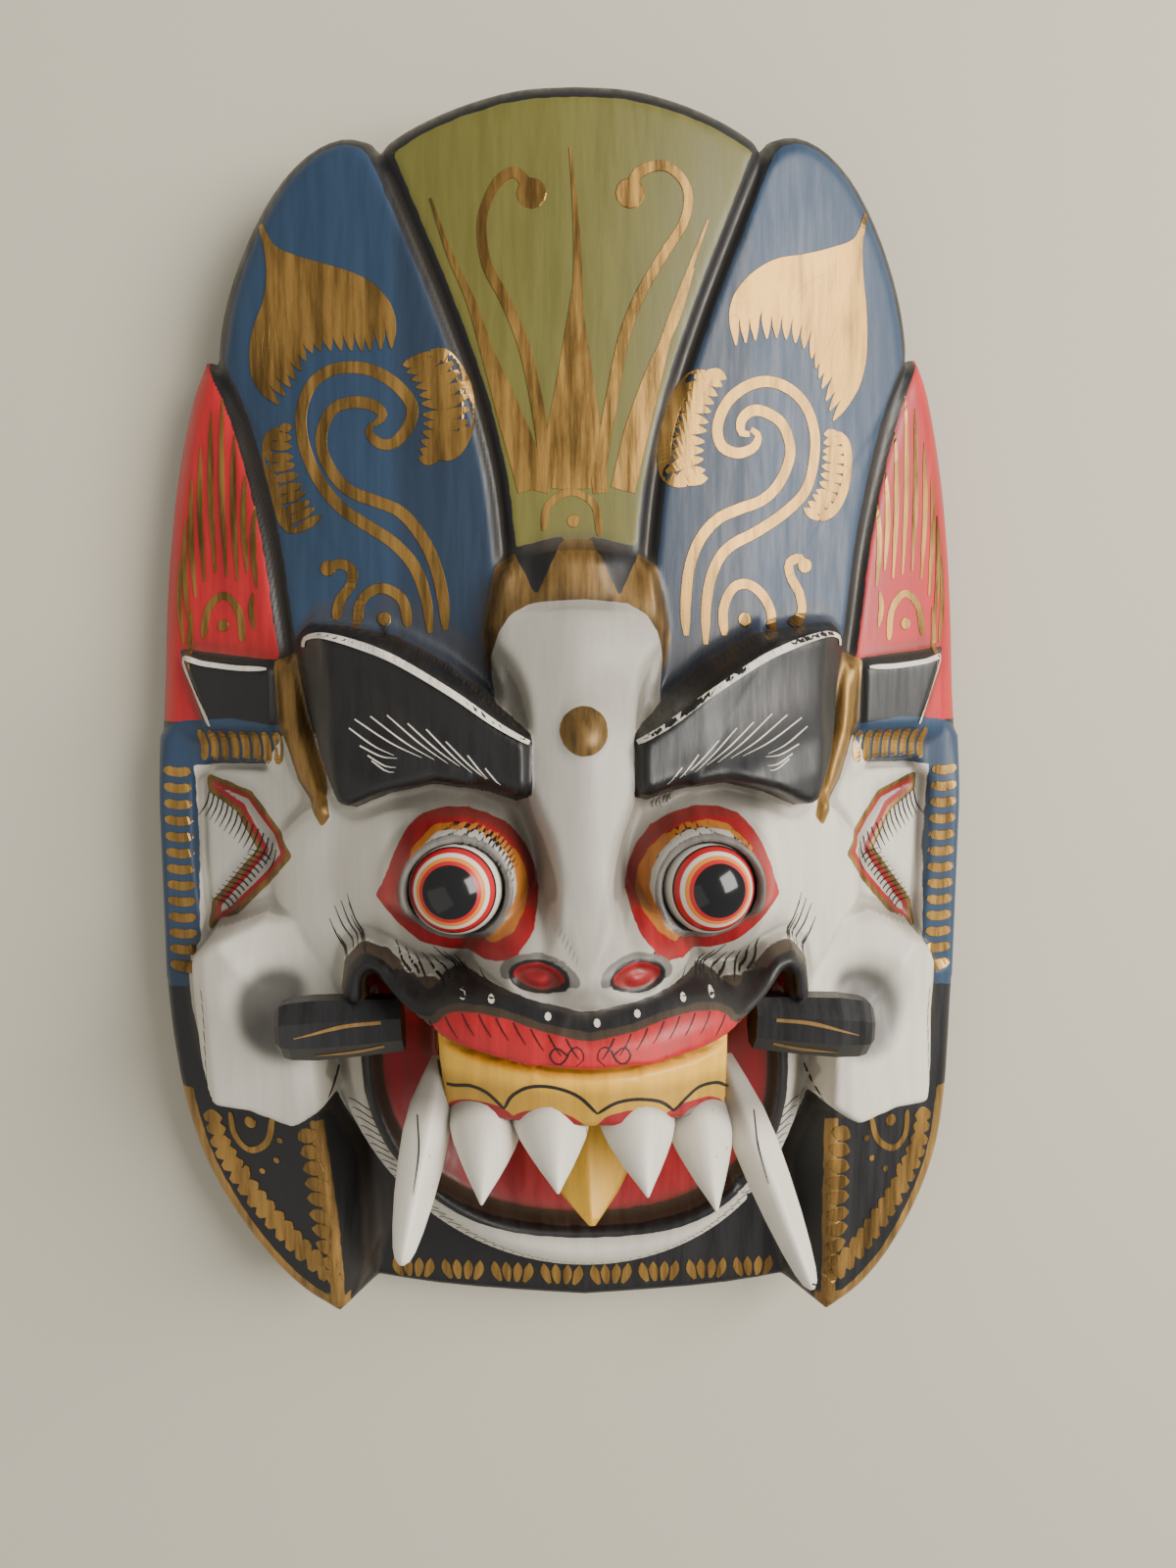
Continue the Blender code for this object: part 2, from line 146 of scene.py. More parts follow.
def raise_block(z, top, depth_inside, wall):
    """Lift z to top where depth_inside is above zero, through a side wall of the given width."""
    return z + (top - z) * ramp(0.0, wall, depth_inside)


# ---------------------------------------------------------------- outline

def outline_half():
    """Right half of the outline, from the top centre down to the bottom centre."""
    points = []

    def arc(knots, steps):
        curve_x = spline([(i, k[0]) for i, k in enumerate(knots)])
        curve_y = spline([(i, k[1]) for i, k in enumerate(knots)])
        for t in np.linspace(0.0, len(knots) - 1.0, steps):
            points.append((float(curve_x(t)), float(curve_y(t))))

    arc([(0.0, CROWN_TOP), (13.0, 153.2), (26.0, 150.4), (37.5, 146.3), (46.0, 141.8)], 16)
    arc([(47.2, 143.4), (54.0, 145.4), (62.0, 143.4), (70.0, 137.4), (77.0, 128.0),
         (82.6, 116.8), (86.2, 105.8), (88.0, 95.5)], 20)
    arc([(90.6, 96.0), (95.0, 86.0), (99.4, 68.0), (102.2, 49.0), (104.0, 28.0),
         (HALF_WIDTH, 2.0), (HALF_WIDTH, -30.0), (HALF_WIDTH, -66.0)], 24)
    arc([(104.4, -80.0), (103.2, -96.0), (100.2, -112.0), (94.0, -126.0), (84.8, -138.6),
         (75.0, -146.8), (64.6, WING_TIP)], 20)
    arc([(57.4, -149.4), (40.0, -151.4), (20.0, -152.2), (0.0, -152.4)], 7)
    return points


def outline_radius(centre):
    """The outline's distance from a centre on the middle line, as a function of direction."""
    half = outline_half()
    angle, distance = [], []
    for (ax, ay), (bx, by) in zip(half, half[1:]):
        for t in np.linspace(0.0, 1.0, 12):
            px, py = ax + t * (bx - ax), ay + t * (by - ay) - centre
            angle.append(math.atan2(py, px))
            distance.append(math.hypot(px, py))
    order = np.argsort(angle)
    angle = np.array(angle)[order]
    distance = np.array(distance)[order]

    def radius(theta):
        return np.interp(np.arcsin(np.clip(np.sin(theta), -1.0, 1.0)), angle, distance)
    return radius


# ---------------------------------------------------------------- relief, as heights over (x, y)

PANEL_LINE_INNER = spline([(42, 16.6), (65, 19.3), (83, 23.8), (101, 30), (122, 38.4), (140, 45.8)])
PANEL_LINE_OUTER = spline([(20, 69), (30, 70.5), (48, 73), (66, 77), (82, 81.8), (97, 88.6)])
COLUMN_HALF_WIDTH = spline([(-52, 12), (-42, 9), (-32, 5.6), (-20, 6.5), (-8, 10.8), (4, 11.2), (14, 12.5),
    (20, 15.5), (26, 19.5), (34, 18)])
COLUMN_HEIGHT = spline([(-56, 89), (-50, 93), (-45, 95.5), (-38, 91), (-26, 84), (-12, 81), (4, 77),
    (18, 69), (27, 65), (31, 62), (34, 56)])
BROW_CREST = spline([(11, 4), (19, 8), (29, 14.8), (40.6, 21.7), (52.6, 26.2), (64, 27.4)])
BROW_CREST_HEIGHT = spline([(11, 79), (28, 74), (44, 67), (56, 61), (66, 54)])
LIP_TOP = spline([(0, -52.6), (8.5, -51.2), (19, -48.9), (28, -49.3), (34.5, -52), (40, -49.6),
    (46, -46.4)])
LIP_BOTTOM = spline([(0, -64.8), (16, -63.8), (31, -61), (38, -57.4), (46, -52)])
WING_RIDGE = spline([(-156, 64.6), (-140, 64.4), (-115, 65), (-92, 66)])

BROW = [(11.4, 4.2), (19, 10.5), (30, 19.5), (42, 26), (54, 28.4), (63.5, 29), (66.6, 26), (66.4, 20),
        (63.4, 8), (59, -5), (55, -12.6), (51.5, -13.4), (43, -9.6), (33, -7), (21, -8.4), (14.5, -10.6),
        (11.4, -9.2)]
TEMPLE_STRIP = [(67, 22), (72.4, 19.8), (71.4, 4), (67, -9), (60.4, -19), (58.4, -17), (60, -7), (64.6, 8)]
TEMPLE_FLAP = [(97.6, 22.8), (84, 21.2), (72, 20), (72.4, 2), (90.4, 2)]
EAR_BAND = [(108, 0.5), (97, 4.6), (84, 5.4), (71, 3.6), (69, -11), (77, -6.6), (90.4, -6.6), (94.4, -11),
            (94.8, -30), (93.8, -46), (94, -64), (108, -66)]
EAR_PANEL = [(95.5, -7), (76, -6), (70, 3), (52, 3), (46, -12), (50, -60), (84, -64), (95.5, -62)]
EAR_SLIT = [(92, -10.5), (80.7, -14), (69.6, -27.5), (76.5, -35.5), (87, -46), (93, -50), (92, -44),
            (84, -35), (78, -28), (84, -18), (92, -13.5)]
CHEEK_BLOCK = [(97.6, -57), (97.2, -70), (95.4, -83), (92.6, -89.5), (89.8, -91.8), (80, -92), (69, -94.6),
               (62, -90.6), (48, -78), (46, -58), (58, -44), (76, -42), (90, -48)]
LIP_CURL = [(52, -56.5), (51.2, -50.6), (48.6, -47.6), (45.6, -48.2), (42.4, -51.2), (39, -54.4), (34, -54)]


def crown_height(x, y):
    """Fan of five panels: bowed across, rising towards the forehead, with cut lines between them."""
    z = 45.0 - 0.0027 * x ** 2 + 0.065 * (140.0 - y)
    for line, width in ((PANEL_LINE_INNER, 2.6), (PANEL_LINE_OUTER, 2.3)):
        cut = np.clip(1.0 - np.abs(x - line(y)) / width, 0.0, 1.0)
        z = z - 3.0 * cut ** 1.2
    return z


def tiara_height(x, y, z):
    """Pointed band at the foot of the crown, behind the forehead, with a scoop in each leaf."""
    band = [(-20.0, 47.5), (12.5, 45.6), (18.6, 42.0), (21.8, 26.0), (-20.0, 26.0)]
    top = 56.0 + 0.16 * (47.0 - y) - 0.10 * x
    scoop = np.hypot((x - 12.0) / 7.5, (y - 44.0) / 12.0)
    top = top - 2.6 * (1.0 - ramp(0.1, 1.0, scoop)) - 0.5 * np.clip(1.0 - np.abs(x) / 1.2, 0.0, 1.0)
    return raise_block(z, top, inside(x, y, band), 1.6)


def column_height(x, y):
    """Forehead column running down into the bridge and tip of the nose."""
    roof = COLUMN_HEIGHT(y) - 0.42 * (np.hypot(x, 4.0) - 4.0)
    return roof - 3.2 * np.maximum(0.0, x - COLUMN_HALF_WIDTH(y))


def eye_mound_height(x, y):
    """Domed socket rim around the eye, with a hood that stands over the eyeball."""
    r = np.hypot((x - EYE[0]) / 1.06, y - EYE[1])
    dome = 60.0 + 15.5 * (1.0 - (r / 23.0) ** 2)
    open_below = ramp(-7.0, -11.0, y - EYE[1] - 0.25 * (x - EYE[0]))
    hood = ramp(9.5, 10.4, r) * (1.0 - ramp(10.4, 17.0, r)) * (1.0 - open_below)
    return dome + 8.5 * hood


def face_height(x, y):
    """White face: shell of the cheeks, column and nose, eye mounds, nostrils."""
    shell = 30.0 + 36.0 * np.sqrt(np.clip(1.0 - (x / 76.0) ** 2 - ((y + 34.0) / 92.0) ** 2, 0.0, 1.0))
    z = blend_max(shell, eye_mound_height(x, y), 3.0)
    z = blend_max(z, column_height(x, y), 3.0)
    ala = 92.0 - 0.10 * ((x - 10.5) ** 2 + (y + 45.5) ** 2)
    z = blend_max(z, ala, 2.5)
    nostril = np.hypot((x - 10.6) / 5.6, (y + 46.0) / 3.2)
    return z - 3.6 * (1.0 - ramp(0.75, 1.1, nostril)) + 2.0 * (1.0 - ramp(0.0, 0.72, nostril))


def brow_height(x, y, z):
    """Heavy brow: a crest, a hollowed front face under it, a turned outer end and a top sloping back."""
    crest = BROW_CREST_HEIGHT(x)
    above = y - BROW_CREST(x)
    front = crest + 0.30 * np.clip(-above, 0.0, 30.0) - 2.4 * np.sin(np.clip(-above / 24.0, 0.0, 1.0) * np.pi)
    back = crest - 1.5 * above + 0.9 * np.clip(above, 0.0, 3.0) * np.clip(3.0 - above, 0.0, 3.0) / 1.5
    top = np.where(above > 0.0, back, front)
    top = top - 0.95 * np.maximum(x - 57.0 - 0.12 * (y - 18.0), 0.0)
    return raise_block(z, np.maximum(top, z), inside(x, y, BROW), 1.4)


def muzzle_height(x, y, z):
    """Upper lip rolled over the gum, standing out over the mouth, with a curl at each corner."""
    lip_z = 97.0 - 0.0125 * x ** 2
    lip_top = LIP_TOP(x)
    lip_low = LIP_BOTTOM(x)
    t = np.clip((lip_top - y) / (lip_top - lip_low), 0.0, 1.0)
    lip = lip_z - 4.5 * (1.0 - ramp(0.0, 0.55, t)) + 2.0 * t
    lip_area = np.minimum(np.minimum(lip_top - y, y - lip_low), 46.5 - x)
    z = raise_block(z, np.maximum(lip, z), lip_area, 1.2)
    curl = to_line(x, y, LIP_CURL)
    z = blend_max(z, np.where(curl < 4.0, 76.0 - 0.55 * (x - 40.0) - 0.62 * curl ** 2, 0.0), 1.0)
    pocket = np.hypot((x - 46.4) / 3.4, (y + 54.2) / 3.0)
    z = z - 4.0 * (1.0 - ramp(0.5, 1.1, pocket))
    gum_area = np.minimum(np.minimum(33.6 - x, y + 78.5), lip_low - y + 1.2)
    gum = 95.5 - 0.0125 * x ** 2
    return raise_block(z, gum, gum_area, 1.5)


def mouth_rings(x, y):
    """How far out a point lies on the lower lip (1 at its outer edge) and in the mouth (1 at its edge)."""
    outer = np.hypot(x / 62.5, (y + 78.0) / 62.0)
    inner = (np.abs(x / 51.0) ** 2.3 + np.abs(np.minimum(y + 78.0, 0.0) / 41.5) ** 2.3) ** (1 / 2.3)
    return outer, inner


def mouth_height(x, y, z):
    """Mouth hollow with a rolled lower lip around it."""
    outer, inner = mouth_rings(x, y)
    roll = np.clip((outer - 0.70) / 0.30, 0.0, 1.0)
    ring = 58.0 - 19.0 * ramp(0.0, 1.0, roll) ** 1.3 + 1.6 * np.sin(np.pi * np.clip(roll * 1.3, 0.0, 1.0))
    lip_area = np.where(y < -70.0, (1.0 - outer) * 60.0, -1.0)
    z = raise_block(z, ring, lip_area, 1.6)
    cavity_area = np.minimum((1.0 - inner) * 46.0, -57.5 - 0.10 * x - y)
    cavity = 42.0 + 10.0 * ramp(0.45, 1.0, inner)
    return raise_block(z, cavity, cavity_area, 3.2)


def cheek_height(x, y, z):
    """Flared cheek block: crease, dish where the horn lies and a grooved face turned outwards."""
    outward = 58.0 - 0.52 * np.maximum(x - 67.5, 0.0) - 0.10 * np.maximum(67.5 - x, 0.0)
    upper = 46.0 + 0.42 * (-44.0 - y)
    top = np.minimum(outward, upper)
    top = top + 0.16 * np.clip(-70.0 - y, 0.0, 30.0) * ramp(66.0, 92.0, x)
    dish = np.hypot((x - 72.0) / 15.0, (y + 62.5) / 13.0)
    top = top - 5.0 * (1.0 - ramp(0.2, 1.0, dish))
    turned = x - 90.6 - 0.05 * (y + 62.0)
    grooves = 0.5 - 0.5 * np.cos(2.0 * np.pi * np.clip(turned, 0.0, 6.0) / 2.0)
    top = top - 1.5 * np.maximum(turned, 0.0) - 0.7 * grooves * ramp(-60.0, -68.0, y)
    return raise_block(z, np.maximum(top, z), inside(x, y, CHEEK_BLOCK), 1.6)


def ear_height(x, y, z):
    """Ear panel with its slit, and the raised band that turns around it."""
    slope = 23.0 + 0.66 * np.minimum(94.5 - x, 38.0)
    z = raise_block(z, np.maximum(slope, z), inside(x, y, EAR_PANEL), 1.5)
    z = z - 1.8 * ramp(0.0, 1.8, inside(x, y, EAR_SLIT))
    top = 27.0 + 0.55 * np.maximum(94.5 - x, 0.0)
    return raise_block(z, np.maximum(top, z), inside(x, y, EAR_BAND), 1.4)


def wing_height(x, y, z):
    """Side wing below the cheek block: a ridge inside, sloping down to the outer rim."""
    ridge = WING_RIDGE(y)
    area = np.minimum(-60.0 - y, x - ridge + 9.0)
    slope = 40.0 + 0.05 * (y + 150.0) - 0.46 * np.abs(x - ridge)
    inner_wall = slope - 1.3 * np.maximum(ridge - x, 0.0)
    top = np.where(x < ridge, inner_wall, slope)
    return raise_block(z, np.maximum(top, z), area, 1.5)


def relief(x, y, edge):
    """Height of the carved front over the back plane, for x of either sign.

    edge is the distance in to the outline, which bevels the rim of the fan and rounds the rest.
    """
    x = np.abs(x)
    z = 30.0 - 0.10 * x
    z = z + (crown_height(x, y) - z) * ramp(-10.0, 4.0, y)
    z = tiara_height(x, y, z)
    z = raise_block(z, 42.0 - 0.32 * (x - 70.0), inside(x, y, TEMPLE_FLAP), 1.4)
    z = ear_height(x, y, z)
    z = wing_height(x, y, z)
    face_area = inside(x, y, FACE_AREA)
    face = z + (face_height(x, y) - z) * ramp(0.0, 2.4, face_area)
    z = blend_max(z, np.where(face_area > 0.0, face, 0.0), 1.0)
    z = brow_height(x, y, z)
    z = z + 5.0 * np.clip(inside(x, y, TEMPLE_STRIP) / 2.6, 0.0, 1.0)
    z = cheek_height(x, y, z)
    z = mouth_height(x, y, z)
    z = muzzle_height(x, y, z)
    dot = np.hypot(x, y - 5.4)
    z = z + 2.4 * np.sqrt(np.clip(1.0 - (dot / 5.3) ** 2, 0.0, 1.0))
    z = z - 6.0 * np.clip(1.0 - edge / 6.0, 0.0, 1.0) ** 2 * ramp(-20.0, 20.0, y)
    return z - 1.5 * np.clip(1.0 - edge / 1.5, 0.0, 1.0) ** 2 + DATUM


def hollow(x, y, fraction):
    """Height of the hollowed back: a flat rim, then a bowl with a deeper pocket behind the face."""
    bowl = ramp(0.0, 1.0, (1.0 - fraction) / 0.45)
    depth = HOLLOW_DEPTH * (1.0 - 0.25 * ramp(20.0, 110.0, y))
    pocket = FACE_POCKET_DEPTH * np.exp(-((x / 40.0) ** 2 + ((y + 14.0) / 32.0) ** 2) ** 2)
    return (depth * (1.0 - 0.25 * (x / HALF_WIDTH) ** 2) + pocket) * bowl


# ---------------------------------------------------------------- meshes

def hand_carved(x, y):
    """Shift even points to where the carver's hand put them: right side taller, chin leaning right."""
    return x + CHIN_LEAN * ramp(-60.0, -155.0, y), y * (1.0 + CROWN_SKEW * x) + CENTRE_SHIFT


def settled(points):
    """Turn even points in millimetres into the carving's own places in metres."""
    x, y, z = np.array(points, float).T
    x, y = hand_carved(x, y)
    return np.stack([x, y, z], axis=1) * MM


def plate_points(cells):
    """Spread a square grid over the outline. Returns x and y."""
    line = np.linspace(-1.0, 1.0, cells + 1)
    s, t = np.meshgrid(line, line)
    out = np.maximum(np.abs(s), np.abs(t))
    safe = np.maximum(out, 1e-9)
    sideways = np.abs(s) >= np.abs(t)
    corner = np.where(t > 0.0, UPPER_CORNER, LOWER_CORNER)
    theta = np.where(sideways, corner * t / safe,
                     np.sign(t) * (math.pi / 2 - (math.pi / 2 - corner) * s / safe))
    x_sign = np.where(sideways, np.sign(s), 1.0)
    radius = outline_radius(GRID_CENTRE)(theta) * out
    return (x_sign * radius * np.cos(theta)).ravel(), (radius * np.sin(theta)).ravel() + GRID_CENTRE


def grid_faces(cells, start, flip):
    """Quads of a square grid whose first vertex has the index start."""
    n = cells + 1
    i, j = np.meshgrid(np.arange(cells), np.arange(cells))
    a = (j * n + i).ravel() + start
    quads = np.stack([a, a + 1, a + n + 1, a + n], axis=1)
    return quads[:, ::-1] if flip else quads


def rim_loop(cells, start):
    """Indices of a grid's outer vertices, anticlockwise from its lower left corner."""
    index = np.arange((cells + 1) ** 2).reshape(cells + 1, cells + 1) + start
    return np.concatenate([index[0, :-1], index[:-1, -1], index[-1, :0:-1], index[:0:-1, 0]])


def worn_smooth(z, cells):
    """Heights with the sharpest corners rubbed down, as paint and handling leave them."""
    z = z.reshape(cells + 1, cells + 1)
    for _ in range(SMOOTH_ROUNDS):
        inner = (z[1:-1, 2:] + z[1:-1, :-2] + z[2:, 1:-1] + z[:-2, 1:-1]) / 4.0
        z[1:-1, 1:-1] += 0.5 * (inner - z[1:-1, 1:-1])
    return z.ravel()


def carved_points():
    """Vertices and faces of the carved body: relief, side wall and hollowed back.

    Returns even x, y, z, the distance in to the outline (below zero down the side wall, and far below
    it on the back), and the faces.
    """
    outline = outline_half()
    outline = outline + [(-px, py) for px, py in outline[-2:0:-1]]
    x, y = plate_points(FRONT_CELLS)
    edge = np.maximum(inside(x, y, outline), 0.0)
    z = sum(relief(x + dx, y + dy, edge) for dx, dy in SOFTENING) / len(SOFTENING)
    z = worn_smooth(z, FRONT_CELLS)
    faces = [grid_faces(FRONT_CELLS, 0, False)]
    loop = rim_loop(FRONT_CELLS, 0)
    rim_x, rim_y, rim_z = x[loop], y[loop], z[loop]
    xs, ys, zs, edges = [x], [y], [z], [edge]
    total = len(x)
    for share in WALL_ROWS:
        row = np.arange(len(loop)) + total
        faces.append(np.stack([loop, row, np.roll(row, -1), np.roll(loop, -1)], axis=1))
        low = rim_z * (1.0 - share) + EDGE_BEVEL * share
        xs.append(rim_x)
        ys.append(rim_y)
        zs.append(low)
        edges.append(low - rim_z)
        loop, total = row, total + len(row)
    cells = FRONT_CELLS // BACK_STEP
    x, y = plate_points(cells)
    shrink = 1.0 - EDGE_BEVEL / HALF_WIDTH
    x, y = x * shrink, (y - GRID_CENTRE) * shrink + GRID_CENTRE
    reach = outline_radius(0.0)(np.arctan2(y, np.abs(x))) - RIM_WIDTH
    xs.append(x)
    ys.append(y)
    zs.append(hollow(x, y, np.clip(np.hypot(x, y) / reach, 0.0, 1.0)))
    edges.append(np.full(len(x), BACK_MARK))
    faces.append(grid_faces(cells, total, True))
    inner = rim_loop(cells, total)
    fans = []
    for j, near in enumerate(inner):
        after = inner[(j + 1) % len(inner)]
        fine = [loop[(BACK_STEP * j + k) % len(loop)] for k in range(BACK_STEP + 1)]
        half = BACK_STEP // 2
        for k in range(BACK_STEP):
            fans.append((fine[k], near if k < half else after, fine[k + 1]))
        fans.append((fine[half], near, after))
    points = [np.concatenate(part) for part in (xs, ys, zs, edges)]
    return points, [tuple(face) for part in faces for face in part.tolist()] + fans


def new_piece(name, points, faces, smooth=True):
    """Object from even points in millimetres, riding on the mask and standing for its solid."""
    mesh = bpy.data.meshes.new(name)
    mesh.from_pydata(settled(points).tolist(), [], faces)
    mesh.polygons.foreach_set("use_smooth", [smooth] * len(mesh.polygons))
    mesh.update()
    piece = bpy.data.objects.new(name, mesh)
    bpy.context.scene.collection.objects.link(piece)
    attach(piece, "root")
    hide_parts("mask")
    return piece


def loft(sections, sides, power, spin=0.0):
    """Closed tube through sections of (centre, width, thickness), in even millimetres.

    power sets the cross-section: 2 is an ellipse, 1 a diamond. Returns points and faces.
    """
    centres = np.array([s[0] for s in sections], float)
    ahead = np.gradient(centres, axis=0)
    turn = np.linspace(0.0, 2.0 * math.pi, sides, endpoint=False) + spin
    ring = np.stack([np.cos(turn), np.sin(turn)], axis=1)
    ring = ring / (np.abs(ring) ** power).sum(axis=1, keepdims=True) ** (1.0 / power)
    points = []
    for centre, way, (_, width, thick) in zip(centres, ahead, sections):
        way = Vector(way).normalized()
        across = way.cross(Vector((0.0, 0.0, 1.0))).normalized()
        up = across.cross(way)
        for u, v in ring:
            points.append(Vector(centre) + across * (u * width / 2) + up * (v * thick / 2))
    faces = []
    for k in range(len(sections) - 1):
        for i in range(sides):
            a, b = k * sides + i, k * sides + (i + 1) % sides
            faces.append((a, b, b + sides, a + sides))
    faces.append(tuple(range(sides))[::-1])
    faces.append(tuple(range(len(points) - sides, len(points))))
    return [tuple(p) for p in points], faces


def between(a, b, t):
    """Point a share t of the way from a to b."""
    return tuple(np.array(a) + (np.array(b) - np.array(a)) * t)


def spike_sections(base, tip, width, thick, profile, bow=0.0):
    """Sections of a spike whose width follows the profile of (way along, share of width)."""
    sections = []
    for t, share in profile:
        px, py, pz = between(base, tip, t)
        sections.append(((px, py, pz + DATUM + bow * math.sin(math.pi * t)), width * share, thick * share))
    return sections


TOOTH_PROFILE = [(0, 1), (0.2, 1), (0.34, 0.95), (0.48, 0.82), (0.62, 0.63), (0.76, 0.42), (0.88, 0.22),
    (0.95, 0.11), (1, 0.03)]
TUSK_PROFILE = [(0, 0.45), (0.12, 0.7), (0.26, 0.94), (0.4, 1), (0.55, 0.94), (0.7, 0.82), (0.84, 0.64),
    (0.93, 0.47), (0.975, 0.32), (1, 0.1)]
HORN_PROFILE = [(0, 0.86), (0.3, 0.94), (0.7, 1), (0.9, 0.94), (0.96, 0.86), (1, 0.66)]
TEETH = ((-21.8, -23.4, -88.7, 16), (-8.2, -7.8, -86.5, 17), (10.2, 10.5, -87.5, 17),
         (24.4, 24.6, -90.8, 15))
TONGUE_PROFILE = [(0, 1), (0.3, 0.86), (0.6, 0.6), (0.85, 0.28), (0.96, 0.1), (1, 0.03)]


def spikes():
    """Points and faces of every spike: (kind, side, (points, faces))."""
    made = []
    for root_x, tip_x, tip_y, width in TEETH:
        root_z = TOOTH_HEIGHT - 0.0125 * root_x ** 2 - 12.0
        root_y = -73.0 - 0.2 * (abs(root_x) - 9.0)
        made.append(("tooth", math.copysign(1.0, root_x), loft(spike_sections(
            (root_x, root_y, root_z), (tip_x, tip_y, 104.0), width, 14.0, TOOTH_PROFILE), 28, 1.6)))
    for side, tip in ((1.0, (44.0, -108.0, 104.0)), (-1.0, (-40.4, -101.5, 104.0))):
        made.append(("tusk", side, loft(spike_sections(
            (side * 31.6, -68.0, 76.0), tip, 10.4, 9.6, TUSK_PROFILE), 32, 1.25, 0.3 * side)))
        made.append(("horn", side, loft(spike_sections(
            (side * 41.0, -63.6, 64.0), (side * 69.5, -65.2, 64.0), 15.5, 13.5, HORN_PROFILE), 8, 2.0,
            math.radians(22.5))))
    made.append(("tongue", 0.0, loft(spike_sections(
        (0.0, -70.0, 44.0), (0.0, -106.5, 79.0), 48.0, 24.0, TONGUE_PROFILE), 40, 1.08)))
    return made


# ---------------------------------------------------------------- paint: which colour lies where

EYE_RED = [(46.7, -32.8), (44.4, -28.2), (41.6, -21.2), (39.4, -16.9), (36.1, -13.6), (31.1, -12.1),
           (26.1, -12), (21, -13.3), (16, -16.1), (12.3, -20.6), (10.1, -26), (9.5, -30.5), (10.1, -33.5),
           (11.3, -37.3), (16, -42.6), (22, -44.6), (30, -45), (36.4, -43.4), (41.8, -38.7)]
EYE_ORANGE = [(38.8, -27), (37.4, -20), (32.8, -15.5), (27.6, -14.7), (22.6, -15.5), (18.4, -17.8),
              (15, -21.1), (12.7, -25.3), (11.9, -29.6), (12.8, -33.4), (15.6, -37.4), (20, -40.4),
              (27, -40.8), (34, -39.6), (37.6, -35.6), (39, -31)]
EYE_WHITE = [(38.2, -26.4), (36.6, -20.4), (32.4, -16.6), (27.5, -15.8), (23, -16.5), (19.6, -18.4),
             (16.8, -21.4), (14.9, -25), (14.3, -28.8), (15.3, -32.4), (18, -36.6), (22, -39), (28, -40.2),
             (34, -39.2), (37.4, -35), (38.5, -31.1)]
EYE_STEP = (27.9, -29.4, 10.9)
TIARA = [(-20, 48), (0, 48.6), (13, 46.4), (19, 42.4), (22.4, 26), (21, 18), (-20, 18)]
TIARA_PATCH = [(2.6, 49.5), (15.6, 46.6), (9.6, 34.6)]
FOREHEAD = [(-20, 34.4), (2, 34.4), (11.5, 33.6), (16, 30.8), (18.4, 27), (20.4, 21), (19, 8), (56, -6),
            (66, -16), (76, -26), (76, -60), (60, -86), (-20, -80)]
NOSTRIL = (10.4, -45.2, 5.2, 3.1)
MOUSTACHE_WIDTH = 3.4
PAINTS = ("olive", "blue", "red", "white", "grey", "orange", "gold", "yellow", "brown", "bare")


